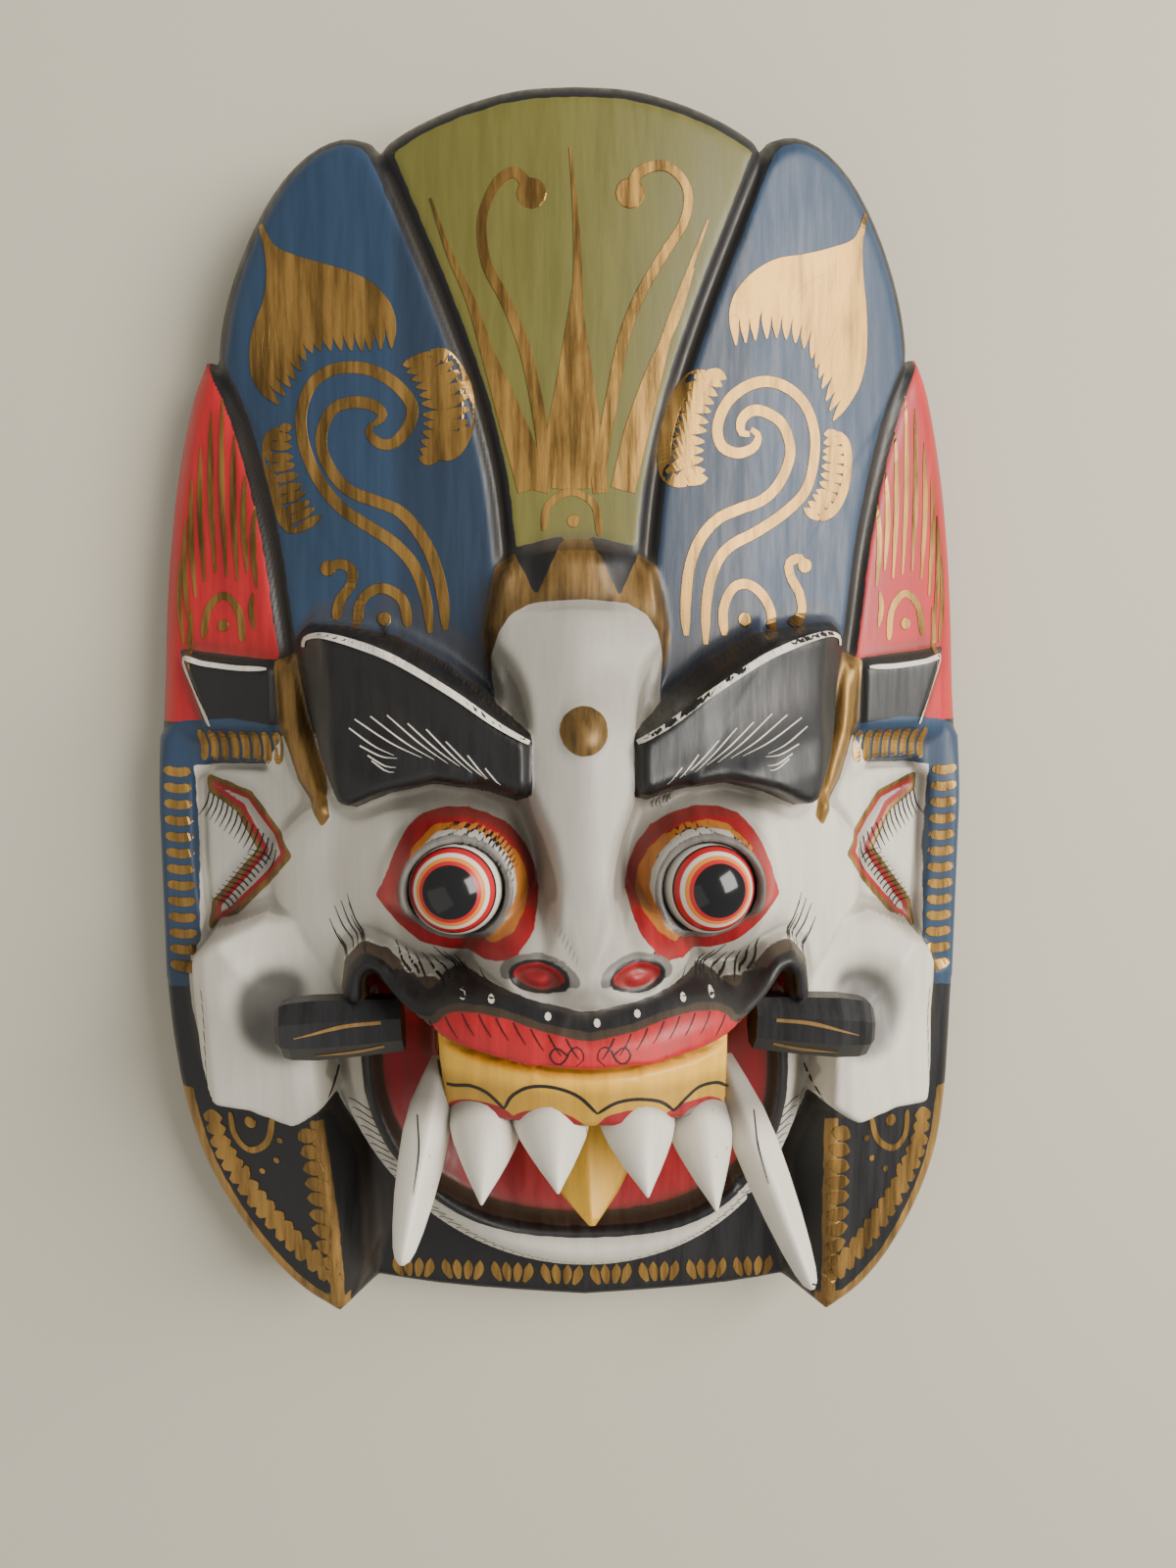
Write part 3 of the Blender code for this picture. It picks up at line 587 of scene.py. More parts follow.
def paint_areas(x, y, edge):
    """How far each point lies inside every paint, in millimetres. What no paint covers stays black."""
    x = np.abs(x)
    areas = {paint: np.full(len(x), -50.0) for paint in PAINTS}

    def coat(paint, area):
        for other in areas:
            if other != paint:
                areas[other] = np.minimum(areas[other], 0.2 - area)
        if paint in areas:
            areas[paint] = np.maximum(areas[paint], area)

    def least(*parts):
        return np.minimum.reduce([np.broadcast_to(part, x.shape) for part in parts])

    inner, outer = PANEL_LINE_INNER(y), PANEL_LINE_OUTER(y)
    coat("olive", least(inner - 2.9 - x, y - 20.0, edge - 5.2))
    coat("blue", least(x - inner - 2.6, outer - 2.6 - x, y - 4.0, edge - 3.8))
    coat("red", least(x - outer - 2.2, y - 4.4, edge + 1.4))
    coat("black", inside(x, y, TEMPLE_FLAP) + 0.6)
    coat("blue", least(inside(x, y, EAR_BAND) + 0.5, edge + 9.0))
    coat("gold", least(-94.0 - y, 3.4 - edge, x - 62.0, edge + 2.6))
    coat("gold", least(-97.0 - y, 1.7 - np.abs(x - WING_RIDGE(y) - 0.6)))
    coat("gold", inside(x, y, TIARA))
    coat("black", inside(x, y, TIARA_PATCH))
    coat("white", inside(x, y, EAR_PANEL))
    coat("white", inside(x, y, FOREHEAD))
    slit = inside(x, y, EAR_SLIT)
    coat("gold", slit + 1.0)
    coat("red", slit - 0.2)
    coat("white", slit - 1.6)
    coat("black", inside(x, y, BROW) + 0.4)
    coat("gold", inside(x, y, TEMPLE_STRIP) + 0.2)
    coat("white", inside(x, y, CHEEK_BLOCK) + 0.5)
    out, mouth = mouth_rings(x, y)
    below = -64.0 - y
    coat("white", least((1.0 - out) * 60.0 + 0.4, below))
    coat("black", least((1.03 - mouth) * 50.0, below))
    coat("brown", least((0.975 - mouth) * 50.0, below))
    coat("red", least((0.932 - mouth) * 50.0, -52.0 - y))
    coat("gold", 5.3 - np.hypot(x, y - 5.4))
    coat("red", inside(x, y, EYE_RED))
    coat("orange", inside(x, y, EYE_ORANGE))
    coat("white", inside(x, y, EYE_WHITE))
    step = np.hypot(x - EYE_STEP[0], y - EYE_STEP[1])
    coat("grey", EYE_STEP[2] + 1.5 - step)
    coat("black", EYE_STEP[2] - step)
    nx, ny, wide, high = NOSTRIL
    coat("grey", least((1.55 - np.hypot((x - nx) / wide, (y - ny) / high)) * high, y + 46.5))
    coat("black", (1.3 - np.hypot((x - nx) / wide, (y - ny) / high)) * high)
    coat("red", (1.0 - np.hypot((x - nx) / wide, (y - ny) / high)) * high)
    lip_top, lip_low = LIP_TOP(x), LIP_BOTTOM(x)
    coat("yellow", least(34.4 - x, y + 81.0, lip_low + 1.0 - y))
    for root_x, _, _, width in TEETH:
        gap = np.hypot((x - abs(root_x)) / (width * 0.5), (y + 80.5) / 7.2)
        coat("red", (1.08 - gap) * 7.5)
        # Painted shade: grey round each tooth root, where the tooth meets the gum.
        coat("grey", (0.84 - gap) * 7.5)
    coat("red", least(lip_top - y, y - lip_low, 44.0 - x))
    curl = to_line(x, y, LIP_CURL)
    coat("brown", least(lip_top - y, y - lip_top + MOUSTACHE_WIDTH + 1.2, 42.0 - x))
    coat("brown", 3.4 - curl)
    coat("black", least(lip_top + 0.4 - y, y - lip_top + MOUSTACHE_WIDTH, 42.0 - x))
    coat("black", 2.1 - curl)
    coat("red", 1.0 - np.hypot((x - 46.6) / 2.8, (y + 54.4) / 2.6))
    coat("bare", np.where(edge <= BACK_MARK, 1.0, -1.0))
    return areas


def soft_shading(x, y):
    """Share of dark paint over the white, partly the mask's own airbrushing and partly painted shade:
    hollows, lash roots and the top of the lip.
    """
    x = np.abs(x)
    # Painted shade in the dish where the horn lies, in the ear slit, round the mouth and under the moustache.
    dish = 1.0 - ramp(8.0, 13.0, np.hypot((x - 72.0) / 1.0, (y + 65.5) / 1.0))
    horn_side = ramp(62.0, 68.0, x) * dish
    slit = ramp(-0.5, 2.2, inside(x, y, EAR_SLIT)) * 0.35
    ear_in = 0.5 * (1.0 - ramp(0.0, 5.0, np.abs(inside(x, y, EAR_SLIT)))) * ramp(70.0, 86.0, x)
    under_eye = [(24.0, -47.0), (33.0, -50.0), (41.0, -47.0), (46.0, -42.0)]
    lash = 0.45 * (1.0 - ramp(0.0, 6.0, to_line(x, y, under_eye)))
    _, mouth = mouth_rings(x, y)
    ring = 0.55 * (1.0 - ramp(1.0, 1.1, mouth)) * ramp(-66.0, -70.0, y)
    lip = 0.5 * (1.0 - ramp(2.0, 7.5, LIP_TOP(x) - y)) * (1.0 - ramp(40.0, 44.0, x)) * ramp(-64.0, -60.0, y)
    return np.clip(np.maximum.reduce([horn_side, slit, ear_in, lash, ring, lip]), 0.0, 1.0)


def proudness(z, cells):
    """How far each point of the grid stands above its surroundings, for wear, or below them, for dirt and
    painted shade.
    """
    z = z.reshape(cells + 1, cells + 1)
    level = z.copy()
    for _ in range(PROUD_ROUNDS):
        level[1:-1, 1:-1] = (level[1:-1, 2:] + level[1:-1, :-2] + level[2:, 1:-1] + level[:-2, 1:-1]) / 4.0
    return np.clip(z - level, -1.5, 1.5).ravel()


# ---------------------------------------------------------------- brush strokes, as thin ribbons of paint

ROUND_ENDS = ((0, 0.45), (0.04, 0.85), (0.1, 1), (0.9, 1), (0.96, 0.85), (1, 0.45))
LEAF = ((0, 0.35), (0.3, 0.9), (0.6, 1), (0.85, 0.65), (1, 0.12))
HAIR = ((0.0, 0.7), (0.5, 0.8), (1.0, 0.15))
SPEAR = ((0.0, 0.12), (0.35, 0.5), (0.75, 1.0), (1.0, 0.9))
CREST = ((0.0, 0.6), (0.3, 1.0), (0.8, 0.8), (1.0, 0.5))
STROKE_STEP = 1.0
RIM_PAINT_HEIGHT = 30.0  # where a stroke runs off the edge
RAY_START = 200.0
CREST_LIFT = 0.5  # over a sharp edge, so that the line clears it
PAINT_LIFT = 0.15


def smooth_line(points, step=STROKE_STEP):
    """Points every step along a smooth line through the given ones."""
    line = np.array(points, float)
    line = np.vstack([2 * line[0] - line[1], line, 2 * line[-1] - line[-2]])
    dense = []
    for a, b, c, d in zip(line, line[1:], line[2:], line[3:]):
        for t in np.linspace(0.0, 1.0, 9)[:-1]:
            dense.append(0.5 * (2 * b + t * (c - a) + t * t * (2 * a - 5 * b + 4 * c - d)
                                + t ** 3 * (3 * b - a - 3 * c + d)))
    dense.append(line[-2])
    dense = np.array(dense)
    run = np.concatenate([[0.0], np.cumsum(np.hypot(*np.diff(dense, axis=0).T))])
    count = max(int(run[-1] / step), 3) + 1
    at = np.linspace(0.0, run[-1], count)
    return np.stack([np.interp(at, run, dense[:, 0]), np.interp(at, run, dense[:, 1])], axis=1)


class Brush:
    """Lays strokes and dots of one paint on the carved surface and gathers them into one mesh."""

    def __init__(self):
        self.points, self.faces, self.surface = [], [], surface_tree()
        self.layer = 0

    def height(self, x, y, fallback):
        """Height of the surface at a place, or the fallback beyond its edge."""
        hit = self.surface.ray_cast(Vector((x, y, RAY_START)), Vector((0.0, 0.0, -1.0)))[0]
        return hit.z if hit is not None else fallback

    def stroke(self, line, width, profile=ROUND_ENDS, lift=PAINT_LIFT):
        """One stroke along a line, its width following the profile of (way along, share of width)."""
        path = smooth_line(line)
        ahead = np.gradient(path, axis=0)
        ahead = ahead / np.maximum(np.hypot(ahead[:, 0], ahead[:, 1]), 1e-9)[:, None]
        way, share = np.array(profile).T
        half = width / 2 * np.interp(np.linspace(0.0, 1.0, len(path)), way, share)
        self.layer += 1
        lift = lift + 0.012 * (self.layer % 5)
        first = len(self.points)
        z = RIM_PAINT_HEIGHT
        for (x, y), (dx, dy), h in zip(path, ahead, half):
            for across, up in ((-1.0, -0.03), (-0.9, lift), (0.9, lift), (1.0, -0.03), (0.0, -0.3)):
                px, py = x - dy * h * across, y + dx * h * across
                z = self.height(px, py, z)
                self.points.append((px, py, z + up))
        rows = len(path)
        for k in range(rows - 1):
            for i in range(5):
                a, b = first + 5 * k + i, first + 5 * k + (i + 1) % 5
                self.faces.append((a, b, b + 5, a + 5)[::-1])
        self.faces.append(tuple(range(first, first + 5)))
        self.faces.append(tuple(range(first + 5 * rows - 5, first + 5 * rows))[::-1])

    def dot(self, x, y, radius, sides=12):
        """One round dot of paint."""
        first = len(self.points)
        for share, up in ((1.0, -0.03), (0.9, PAINT_LIFT + 0.05)):
            for turn in np.linspace(0.0, 2.0 * math.pi, sides, endpoint=False):
                px, py = x + radius * share * math.cos(turn), y + radius * share * math.sin(turn)
                self.points.append((px, py, self.height(px, py, RIM_PAINT_HEIGHT) + up))
        for i in range(sides):
            a, b = first + i, first + (i + 1) % sides
            self.faces.append((a, b, b + sides, a + sides))
        self.faces.append(tuple(range(first + sides, first + 2 * sides)))
        self.faces.append(tuple(range(first, first + sides))[::-1])

    def comb(self, roots, tips, count, width, profile=LEAF, bend=0.0):
        """A row of strokes from one line to another."""
        roots, tips = smooth_line(roots, 0.5), smooth_line(tips, 0.5)
        for t in np.linspace(0.0, 1.0, count):
            root = roots[int(round(t * (len(roots) - 1)))]
            tip = tips[int(round(t * (len(tips) - 1)))]
            middle = (root + tip) / 2 + bend * np.array([root[1] - tip[1], tip[0] - root[0]])
            self.stroke([root, middle, tip], width, profile)

    def leaf(self, edge_a, edge_b, tips, count, width):
        """A leaf of long strokes from its stalk, fanned between two edges, each ending at its own tip."""
        edge_a, edge_b = smooth_line(edge_a, 0.5), smooth_line(edge_b, 0.5)
        tips = smooth_line(tips, 0.5)
        ways = np.linspace(0.0, 1.0, 8)
        for t in np.linspace(0.0, 1.0, count):
            chord = edge_a[-1] * (1 - t) + edge_b[-1] * t
            reach = tips[int(round(t * (len(tips) - 1)))] - chord
            line = []
            for way in ways:
                a = edge_a[int(way * (len(edge_a) - 1))]
                b = edge_b[int(way * (len(edge_b) - 1))]
                line.append(a * (1 - t) + b * t + reach * way ** 2)
            self.stroke(line, width, ((0.0, 0.3), (0.3, 0.8), (0.8, 1.0), (0.94, 0.6), (1.0, 0.12)))

    def finish(self, name, material):
        """Makes the piece out of all that was laid."""
        piece = new_piece(name, self.points, self.faces, smooth=False)
        piece.data.materials.append(material)
        return piece


def flipped(points, sign):
    """The points as they are for sign 1, or mirrored across the middle line for -1."""
    return [(sign * px, py) for px, py in points]


CROWN_SCROLLS = {
    "right": {
        "spiral": [(31, 23.9), (31.2, 34.1), (33.1, 41.9), (36.8, 46.8), (43.6, 50.4), (50.6, 54.8),
            (56.2, 60), (58.5, 66.4), (58.9, 73.6), (56.8, 79.8), (52.7, 83.8), (47.2, 85.6), (41.9, 84.7),
            (36.6, 81), (33.8, 75.3), (34.6, 70.5), (38.6, 68.7), (42.7, 70.1), (44, 72.9), (42.1, 74.4)],
        "inner": [(26.2, 26), (26, 32), (26.8, 41.1), (29.3, 48.1), (33.7, 53.1), (39, 55.6), (45.1, 57.9),
            (49.4, 61.9), (52.1, 67.6), (52.1, 71.8), (50.1, 76), (46.5, 78.2), (42.7, 78.8), (39.8, 76.6),
            (39.7, 73.6), (41.8, 73.2)],
        "arc": [(35.7, 26), (35.4, 32), (37.6, 37), (41.4, 38.1), (45.3, 35.6), (47.7, 31.3), (47.3, 27.4)],
        "hook": [(51.9, 28.4), (55.6, 31), (55.2, 35.7), (52.8, 39.9), (52.3, 43.1), (54.9, 44.4),
            (56.5, 42.7)],
        "dot": (40.8, 29.8),
        "leaf": ([(72.7, 127.4), (69.9, 120.4), (59.6, 115.4), (48.6, 112.6), (41.3, 107.4), (37.4, 99.6),
            (38.2, 93.6)], [(72.7, 127.4), (70.4, 118.3), (70.9, 109.9), (71.7, 101.5), (71.2, 91.4),
            (67.9, 83.3), (63.8, 77.4)], [(38.2, 93.6), (44.6, 95.3), (51.1, 95.7), (57.3, 92.4),
            (61.2, 83.6), (63.8, 77.4)]),
        "comb": ([(30.8, 87), (26.7, 85.3), (23.7, 80.3), (21.5, 73.3), (20.9, 67), (22, 62.7),
            (26.3, 61.3)], [(35.8, 85.8), (32.5, 79.5), (30.8, 72.8), (30.3, 69.4), (30.3, 65.9),
            (31.3, 62.7)]),
        "small": ([(65, 74.6), (67.6, 71.9), (68.1, 66.9), (67.1, 61.1), (64.4, 56.3), (60.3, 53.8)],
            [(61.3, 74), (61, 68.3), (60.1, 62.2), (58, 59), (56, 56.3)]),
    },
    "left": {
        "spiral": [(-34.4, 26.8), (-35.3, 34.9), (-38, 42.4), (-42.7, 47.9), (-48.8, 52.1), (-55, 56.4),
            (-59.8, 62), (-63.3, 69), (-64.8, 75.2), (-64.6, 80.7), (-62.3, 86), (-58, 89), (-52.5, 89.6),
            (-47, 88.3), (-41.6, 84.7), (-38.2, 79.9), (-39, 75.2), (-42.4, 71.5), (-45.8, 71.4),
            (-48.4, 74), (-47.5, 76.3)],
        "inner": [(-30.8, 27.5), (-31.3, 34.9), (-33.2, 43), (-36.5, 49.8), (-41.2, 55.3), (-47.3, 58.1),
            (-52.8, 60.4), (-57, 64.6), (-59.7, 70.2), (-59.6, 75.6), (-56.8, 80.2), (-51.9, 81.4),
            (-47.1, 80.3), (-45.1, 77.9), (-47.1, 75.9)],
        "arc": [(-51.7, 28), (-51.7, 30), (-50.8, 34.4), (-47.6, 37.1), (-44.2, 37.1), (-40.8, 34.3),
            (-39.6, 28.2)],
        "hook": [(-57, 30), (-56, 34.5), (-53.1, 38.6), (-53.1, 42), (-55.9, 43.4), (-58.8, 42.4)],
        "dot": (-45.3, 30.1),
        "leaf": ([(-74.5, 125.7), (-71, 118.7), (-63.3, 114.4), (-54.9, 111.2), (-48.1, 107.3),
            (-43.8, 102), (-42.8, 93.4)], [(-74.5, 125.7), (-71.7, 115.4), (-72.7, 106), (-75.4, 99.4),
            (-75.9, 92.6), (-73.8, 85.5), (-70.4, 82.1)], [(-42.8, 93.4), (-49, 93.1), (-56.6, 93.8),
            (-62.2, 93.4), (-65.4, 88.6), (-70.4, 82.1)]),
        "comb": ([(-33.8, 91.9), (-29.8, 90.8), (-26.2, 85.6), (-25, 79.5), (-25.7, 73.5), (-28.3, 69.1),
            (-32, 67.6)], [(-40.2, 89.3), (-36.5, 82.5), (-35.5, 75.8), (-36, 72.5), (-36.7, 67.7)]),
        "small": ([(-70.3, 76.4), (-73.3, 73.8), (-73.5, 68.2), (-71.9, 61.9), (-70.1, 54.9),
            (-67.3, 51.3)], [(-67.1, 76.4), (-67, 69.9), (-65.1, 63.6), (-62.6, 58), (-60.1, 55)]),
    },
}
REEDS = [[(-1.3, 137.2), (-0.5, 128.2), (0.2, 117.4), (0.4, 102.9), (-0.2, 84.6), (-0.7, 60)],
         [(-0.5, 106.5), (-2.7, 89.5), (-5.3, 72.4), (-8.4, 59.4)], [(0.4, 106.5), (2.3, 89.5), (4.1, 72.3),
         (5.6, 59)], [(-0.3, 96.8), (-2.1, 79.7), (-4.1, 60)], [(0.2, 96.8), (1, 79.7), (1.6, 60)],
         [(-33.4, 127), (-29.2, 114.5), (-24.3, 103.3), (-20.1, 89.8), (-15.8, 74.9), (-11.9, 59.5)],
         [(-20.7, 94.7), (-15.8, 82.3), (-11.9, 71.2), (-9.1, 60.1)], [(31.2, 121.8), (26.4, 109.4),
         (21.9, 97.1), (18.3, 84.7), (14.9, 72.4), (12, 59.4)], [(27.7, 110.7), (23.9, 99.6), (18.7, 89.6),
         (13.6, 74.8), (9.8, 60)]]
CROZIERS = [[(-10, 127.1), (-13.7, 131.8), (-18.2, 129.5), (-21.5, 121.5), (-20.6, 111.7), (-16.3, 103.1),
            (-12.3, 93.3), (-9.6, 82.2), (-8.1, 72.4), (-7.2, 61.3)], [(12.3, 127.1), (14.9, 132),
            (21.2, 133.4), (26, 128.8), (25.5, 121.5), (20, 112.8), (14.9, 104.2), (11.1, 94.4),
            (8.6, 82.2), (6.4, 69.9), (5.4, 60)]]
OLIVE_ARC = [(-7.8, 50.4), (-6.6, 56.3), (-1.2, 59.3), (4.1, 56.3), (5.4, 49.1)]
RED_ARC = [(80.8, 24.8), (81.6, 32.2), (85.5, 36.4), (89.8, 33.1), (91.4, 25.9)]
WING_RIM = [(97.8, -102), (96.6, -110), (93.6, -117), (89, -124), (83, -131), (76, -137.6), (69, -142.5)]
WING_RIM_TIPS = [(92.5, -101), (91, -107), (87.5, -113.5), (83, -120), (77.5, -126), (71.5, -132),
    (66.5, -135.5)]
WING_INNER = [(66.4, -100), (65.2, -108), (64.6, -117), (64.6, -126), (64.2, -135), (64, -143)]
WING_INNER_TIPS = [(71.6, -103), (71.2, -111), (71, -119), (70.6, -127), (69.2, -134), (67, -140)]
WING_RING = [(90, -99), (89.4, -105.6), (85.6, -109), (80.4, -105.6), (78, -98)]
WING_DOTS = [(95, -101.6), (93.6, -107.4), (91.2, -112), (87.2, -114.6), (82.8, -114.4), (78.4, -110.4),
             (76.8, -104.4)]


def gild(brush):
    """All the gold ornament: crown, ears, wings and the band under the chin."""
    for side in CROWN_SCROLLS.values():
        brush.stroke(side["spiral"], 2.9)
        brush.stroke(side["inner"], 2.9)
        brush.stroke(side["arc"], 2.6)
        brush.stroke(side["hook"], 2.6)
        brush.dot(*side["dot"], 1.8)
        brush.dot(*side["hook"][-1], 2.0)
        brush.leaf(*side["leaf"], 15, 3.7)
        brush.comb(*side["comb"], 12, 3.1, LEAF, 0.08)
        brush.stroke(side["comb"][0], 3.2)
        brush.comb(*side["small"], 11, 2.6)
        brush.stroke(side["small"][0], 2.6)
    for reed in REEDS:
        brush.stroke(reed, 4.2, SPEAR)
    for crozier in CROZIERS:
        brush.stroke(crozier, 3.2, ((0.0, 0.9), (0.2, 0.7), (0.5, 0.8), (0.8, 1.0), (1.0, 0.8)))
        brush.dot(crozier[0][0] * 1.02, crozier[0][1], 3.6)
    brush.stroke(OLIVE_ARC, 1.8)
    brush.dot(-0.7, 52.6, 1.6)
    for sign in (1.0, -1.0):
        brush.stroke(flipped(RED_ARC, sign), 2.0)
        brush.dot(sign * 85.9, 28.9, 1.6)
        for x, low, high in ((77.6, 38.0, 58.0), (80.0, 42.0, 66.0), (82.6, 40.0, 76.0), (85.6, 41.0, 85.0),
                             (88.6, 42.0, 82.0), (91.6, 40.0, 74.0), (94.2, 36.0, 66.0), (96.2, 30.0, 56.0),
                             (97.8, 24.0, 46.0), (78.4, 28.0, 37.0), (95.0, 18.0, 33.0)):
            brush.stroke(flipped([(x * 0.99, low), (x, (low + high) / 2), (x - 0.6, high)], sign), 1.7, LEAF)
        for k in range(8):
            x = 93.0 - 2.9 * k
            brush.stroke(flipped([(x, 2.6), (x - 0.7, -2.0), (x - 0.3, -5.4)], sign), 2.3, ROUND_ENDS)
        for k in range(13):
            y = -8.0 - 4.3 * k
            brush.stroke(flipped([(103.2, y), (99.5, y - 0.8), (96.4, y - 0.3)], sign), 2.6, ROUND_ENDS)
        brush.comb(flipped(WING_RIM, sign), flipped(WING_RIM_TIPS, sign), 15, 4.6)
        brush.comb(flipped(WING_INNER, sign), flipped(WING_INNER_TIPS, sign), 10, 4.4)
        brush.stroke(flipped(WING_RING, sign), 1.8)
        brush.dot(sign * 84.6, -100.9, 1.7)
        for px, py in WING_DOTS:
            brush.dot(sign * px, py, 0.9, 8)
    for k in range(8):
        centre = -46.4 + 13.4 * k
        for spread in (-4.4, -1.5, 1.5, 4.4):
            foot = centre + 0.72 * spread
            tip = centre + 1.1 * spread
            brush.stroke([(foot, -149.0), (centre + spread, -146.4), (tip, -143.4)], 2.7, LEAF)


LASH_LINES = [((33.6, -44.1), (27.1, -50.1)), ((31.3, -45.7), (25.7, -49.9)), ((28.9, -46.8),
              (24.8, -49.4)), ((26.7, -48.2), (23.1, -49.6)), ((23, -47), (20.2, -48.8)), ((34.4, -46.7),
              (29, -51)), ((36.4, -46.6), (30.7, -51.4)), ((38, -46.9), (34.6, -51.2)), ((40.1, -45.5),
              (36.7, -50.6)), ((42.3, -43.7), (38.6, -50))]
CORNER_LINES = [((58.9, -41.4), (53.6, -49.6)), ((57.9, -43.5), (53.1, -50)), ((56.7, -45.1), (52, -49.4)),
    ((54, -34.5), (49.6, -45.2)), ((53.7, -36.7), (48.9, -45)), ((53.4, -39.8), (48.7, -45.6)),
    ((57.5, -38), (52.4, -46.6)), ((55.8, -36.4), (51, -45.8))]
LIP_SCROLL = [(4.6, -59.8), (7, -58.2), (8.4, -60), (6.8, -61.6), (5.2, -60.6), (4, -58.4), (2.2, -58.2),
              (1.4, -60.2), (3, -61.8)]
BROW_HAIRS = [((51.3, 5.7), (41.1, 0.1)), ((50.1, 7.6), (35.1, -0.3)), ((46.6, 8.3), (32.4, -0.7)),
              ((42.9, 8.6), (29.4, -1.5)), ((38.3, 6.9), (26.9, -2.1)), ((34.2, 5.7), (24.2, -3.5)),
              ((29.9, 3.1), (21.2, -4.8)), ((25.2, 0.2), (20.8, -4.8)), ((21.4, -2.5), (18.1, -6.1)),
              ((48.7, 2), (40.4, -0.5)), ((46.9, 0), (40.6, -2.4)), ((46, -1.1), (41, -3.4))]
BROW_LINE = [(63.9, 25), (63, 27), (58, 27.6), (49, 25.3), (40.6, 21.9), (28.7, 15), (19, 8.3), (11.8, 4.2)]
FLAP_LINE = [(89.8, 4.8), (93.8, 13), (97, 21.4), (90.4, 20.4), (82, 19.4), (74.6, 19.2)]
GUM_SCALLOPS = [[(-32.6, -66.5), (-31, -70.5), (-28.4, -70.6), (-25.1, -69.9), (-21.6, -70.7),
    (-18, -73.6)], [(-18, -73.6), (-16.2, -70.4), (-12.4, -68), (-7.5, -67.7), (-2.5, -69.4), (1.4, -73.2)],
    [(1.4, -73.2), (5, -71.2), (8.4, -70.6), (11.9, -70.9), (15.4, -72), (18.2, -74.4)], [(18.2, -74.4),
    (21.4, -71.9), (24.5, -70.3), (28.8, -70.6), (31.6, -72.6)]]


def ink(brush):
    """All the thin black lines: lashes, ticks round the mouth, gum scallops and the lip's scroll."""
    for sign in (1.0, -1.0):
        for start, end in LASH_LINES + CORNER_LINES:
            middle = ((start[0] + end[0]) / 2 + 0.5, (start[1] + end[1]) / 2 - 0.5)
            brush.stroke(flipped([end, middle, start], sign), 0.42, HAIR)
        for k in range(15):
            t = k / 14.0
            root = (92.6 - 19.0 * t, -14.2 - 13.0 * t ** 1.2)
            lash = [root, (root[0] + 0.8, root[1] - 2.8), (root[0] + 2.8, root[1] - 6.2)]
            brush.stroke(flipped(lash, sign), 0.5, HAIR)
        for k in range(12):
            t = k / 11.0
            root = (76.0 + 12.0 * t, -30.6 - 14.4 * t)
            lash = [root, (root[0] + 1.8, root[1] + 1.6), (root[0] + 5.0, root[1] + 2.4)]
            brush.stroke(flipped(lash, sign), 0.5, HAIR)
        for k in range(7):
            y = -62.0 - 3.6 * k
            brush.stroke(flipped([(91.8 - 0.02 * k, y), (91.6, y - 1.6), (91.3, y - 2.8)], sign), 0.35, HAIR)
        brush.stroke(flipped([(59.6, -82.6), (60.6, -86.0), (62.0, -89.4)], sign), 0.6, HAIR)
        for k in range(9):
            x = 5.0 + 3.6 * k
            top = float(LIP_TOP(np.array(x))) - MOUSTACHE_WIDTH - 1.4
            brush.stroke(flipped([(x, top), (x - 1.2, top - 1.9), (x - 2.6, top - 3.8)], sign), 0.35, HAIR)
        brush.stroke(flipped(LIP_SCROLL, sign), 0.4, HAIR)
        brush.stroke(flipped([(36.6, -76.4), (36.2, -82.0), (37.4, -89.0)], sign), 0.4, HAIR)
    for scallop in GUM_SCALLOPS:
        brush.stroke(scallop, 0.7)
    for k in range(62):
        turn = math.radians(193.0 + 154.0 * k / 61.0)
        line = [(62.5 * share * math.cos(turn), -78.0 + 62.0 * share * math.sin(turn))
                for share in (0.84, 0.9, 0.95)]
        brush.stroke(line, 0.5, HAIR)


def highlight(brush):
    """The white lines: brow crests and hairs, the temple flaps and the dots on the moustache."""
    for sign in (1.0, -1.0):
        brush.stroke(flipped([(px, py - 1.4) for px, py in BROW_LINE], sign), 1.9, CREST, CREST_LIFT)
        flap = [(px - 0.4, py - 1.0) for px, py in FLAP_LINE]
        brush.stroke(flipped(flap, sign), 1.3, ROUND_ENDS, CREST_LIFT)
        for start, end in BROW_HAIRS:
            middle = ((start[0] + end[0]) / 2 - 0.6, (start[1] + end[1]) / 2 - 0.9)
            brush.stroke(flipped([start, middle, end], sign), 0.42, HAIR)
    for x in (-26.6, -20.4, -8.6, 1.6, 10.2, 20.6, 27.6):
        brush.dot(x, float(LIP_TOP(np.array(abs(x)))) - 1.9, 0.75, 8)


# ---------------------------------------------------------------- materials

def add_node(tree, kind, inputs=(), **settings):
    """A node with its settings, and its inputs given as (name or index, value or socket to link)."""
    node = tree.nodes.new(kind)
    for name, value in settings.items():
        setattr(node, name, value)
    for key, value in inputs:
        if isinstance(value, bpy.types.NodeSocket):
            tree.links.new(value, node.inputs[key])
        else:
            node.inputs[key].default_value = value
    return node


def calculate(tree, operation, a, b=0.5):
    """Result of a Math node."""
    return add_node(tree, "ShaderNodeMath", ((0, a), (1, b)), operation=operation).outputs[0]


def blend(tree, share, a, b):
    """Colour a, turning to b where share is 1."""
    return add_node(tree, "ShaderNodeMix", ((0, share), (6, a), (7, b)), data_type="RGBA").outputs[2]


def spread(tree, value, low, high, out_low=0.0, out_high=1.0):
    """Value stretched from low..high to out_low..out_high, and held within them."""
    inputs = (("Value", value), ("From Min", low), ("From Max", high),
              ("To Min", out_low), ("To Max", out_high))
    return add_node(tree, "ShaderNodeMapRange", inputs, interpolation_type="SMOOTHSTEP").outputs[0]


def noise(tree, scale, detail, vector, roughness=0.5):
    """Noise between 0 and 1 at the place the vector gives."""
    inputs = (("Vector", vector), ("Scale", scale), ("Detail", detail), ("Roughness", roughness))
    return add_node(tree, "ShaderNodeTexNoise", inputs).outputs["Fac"]


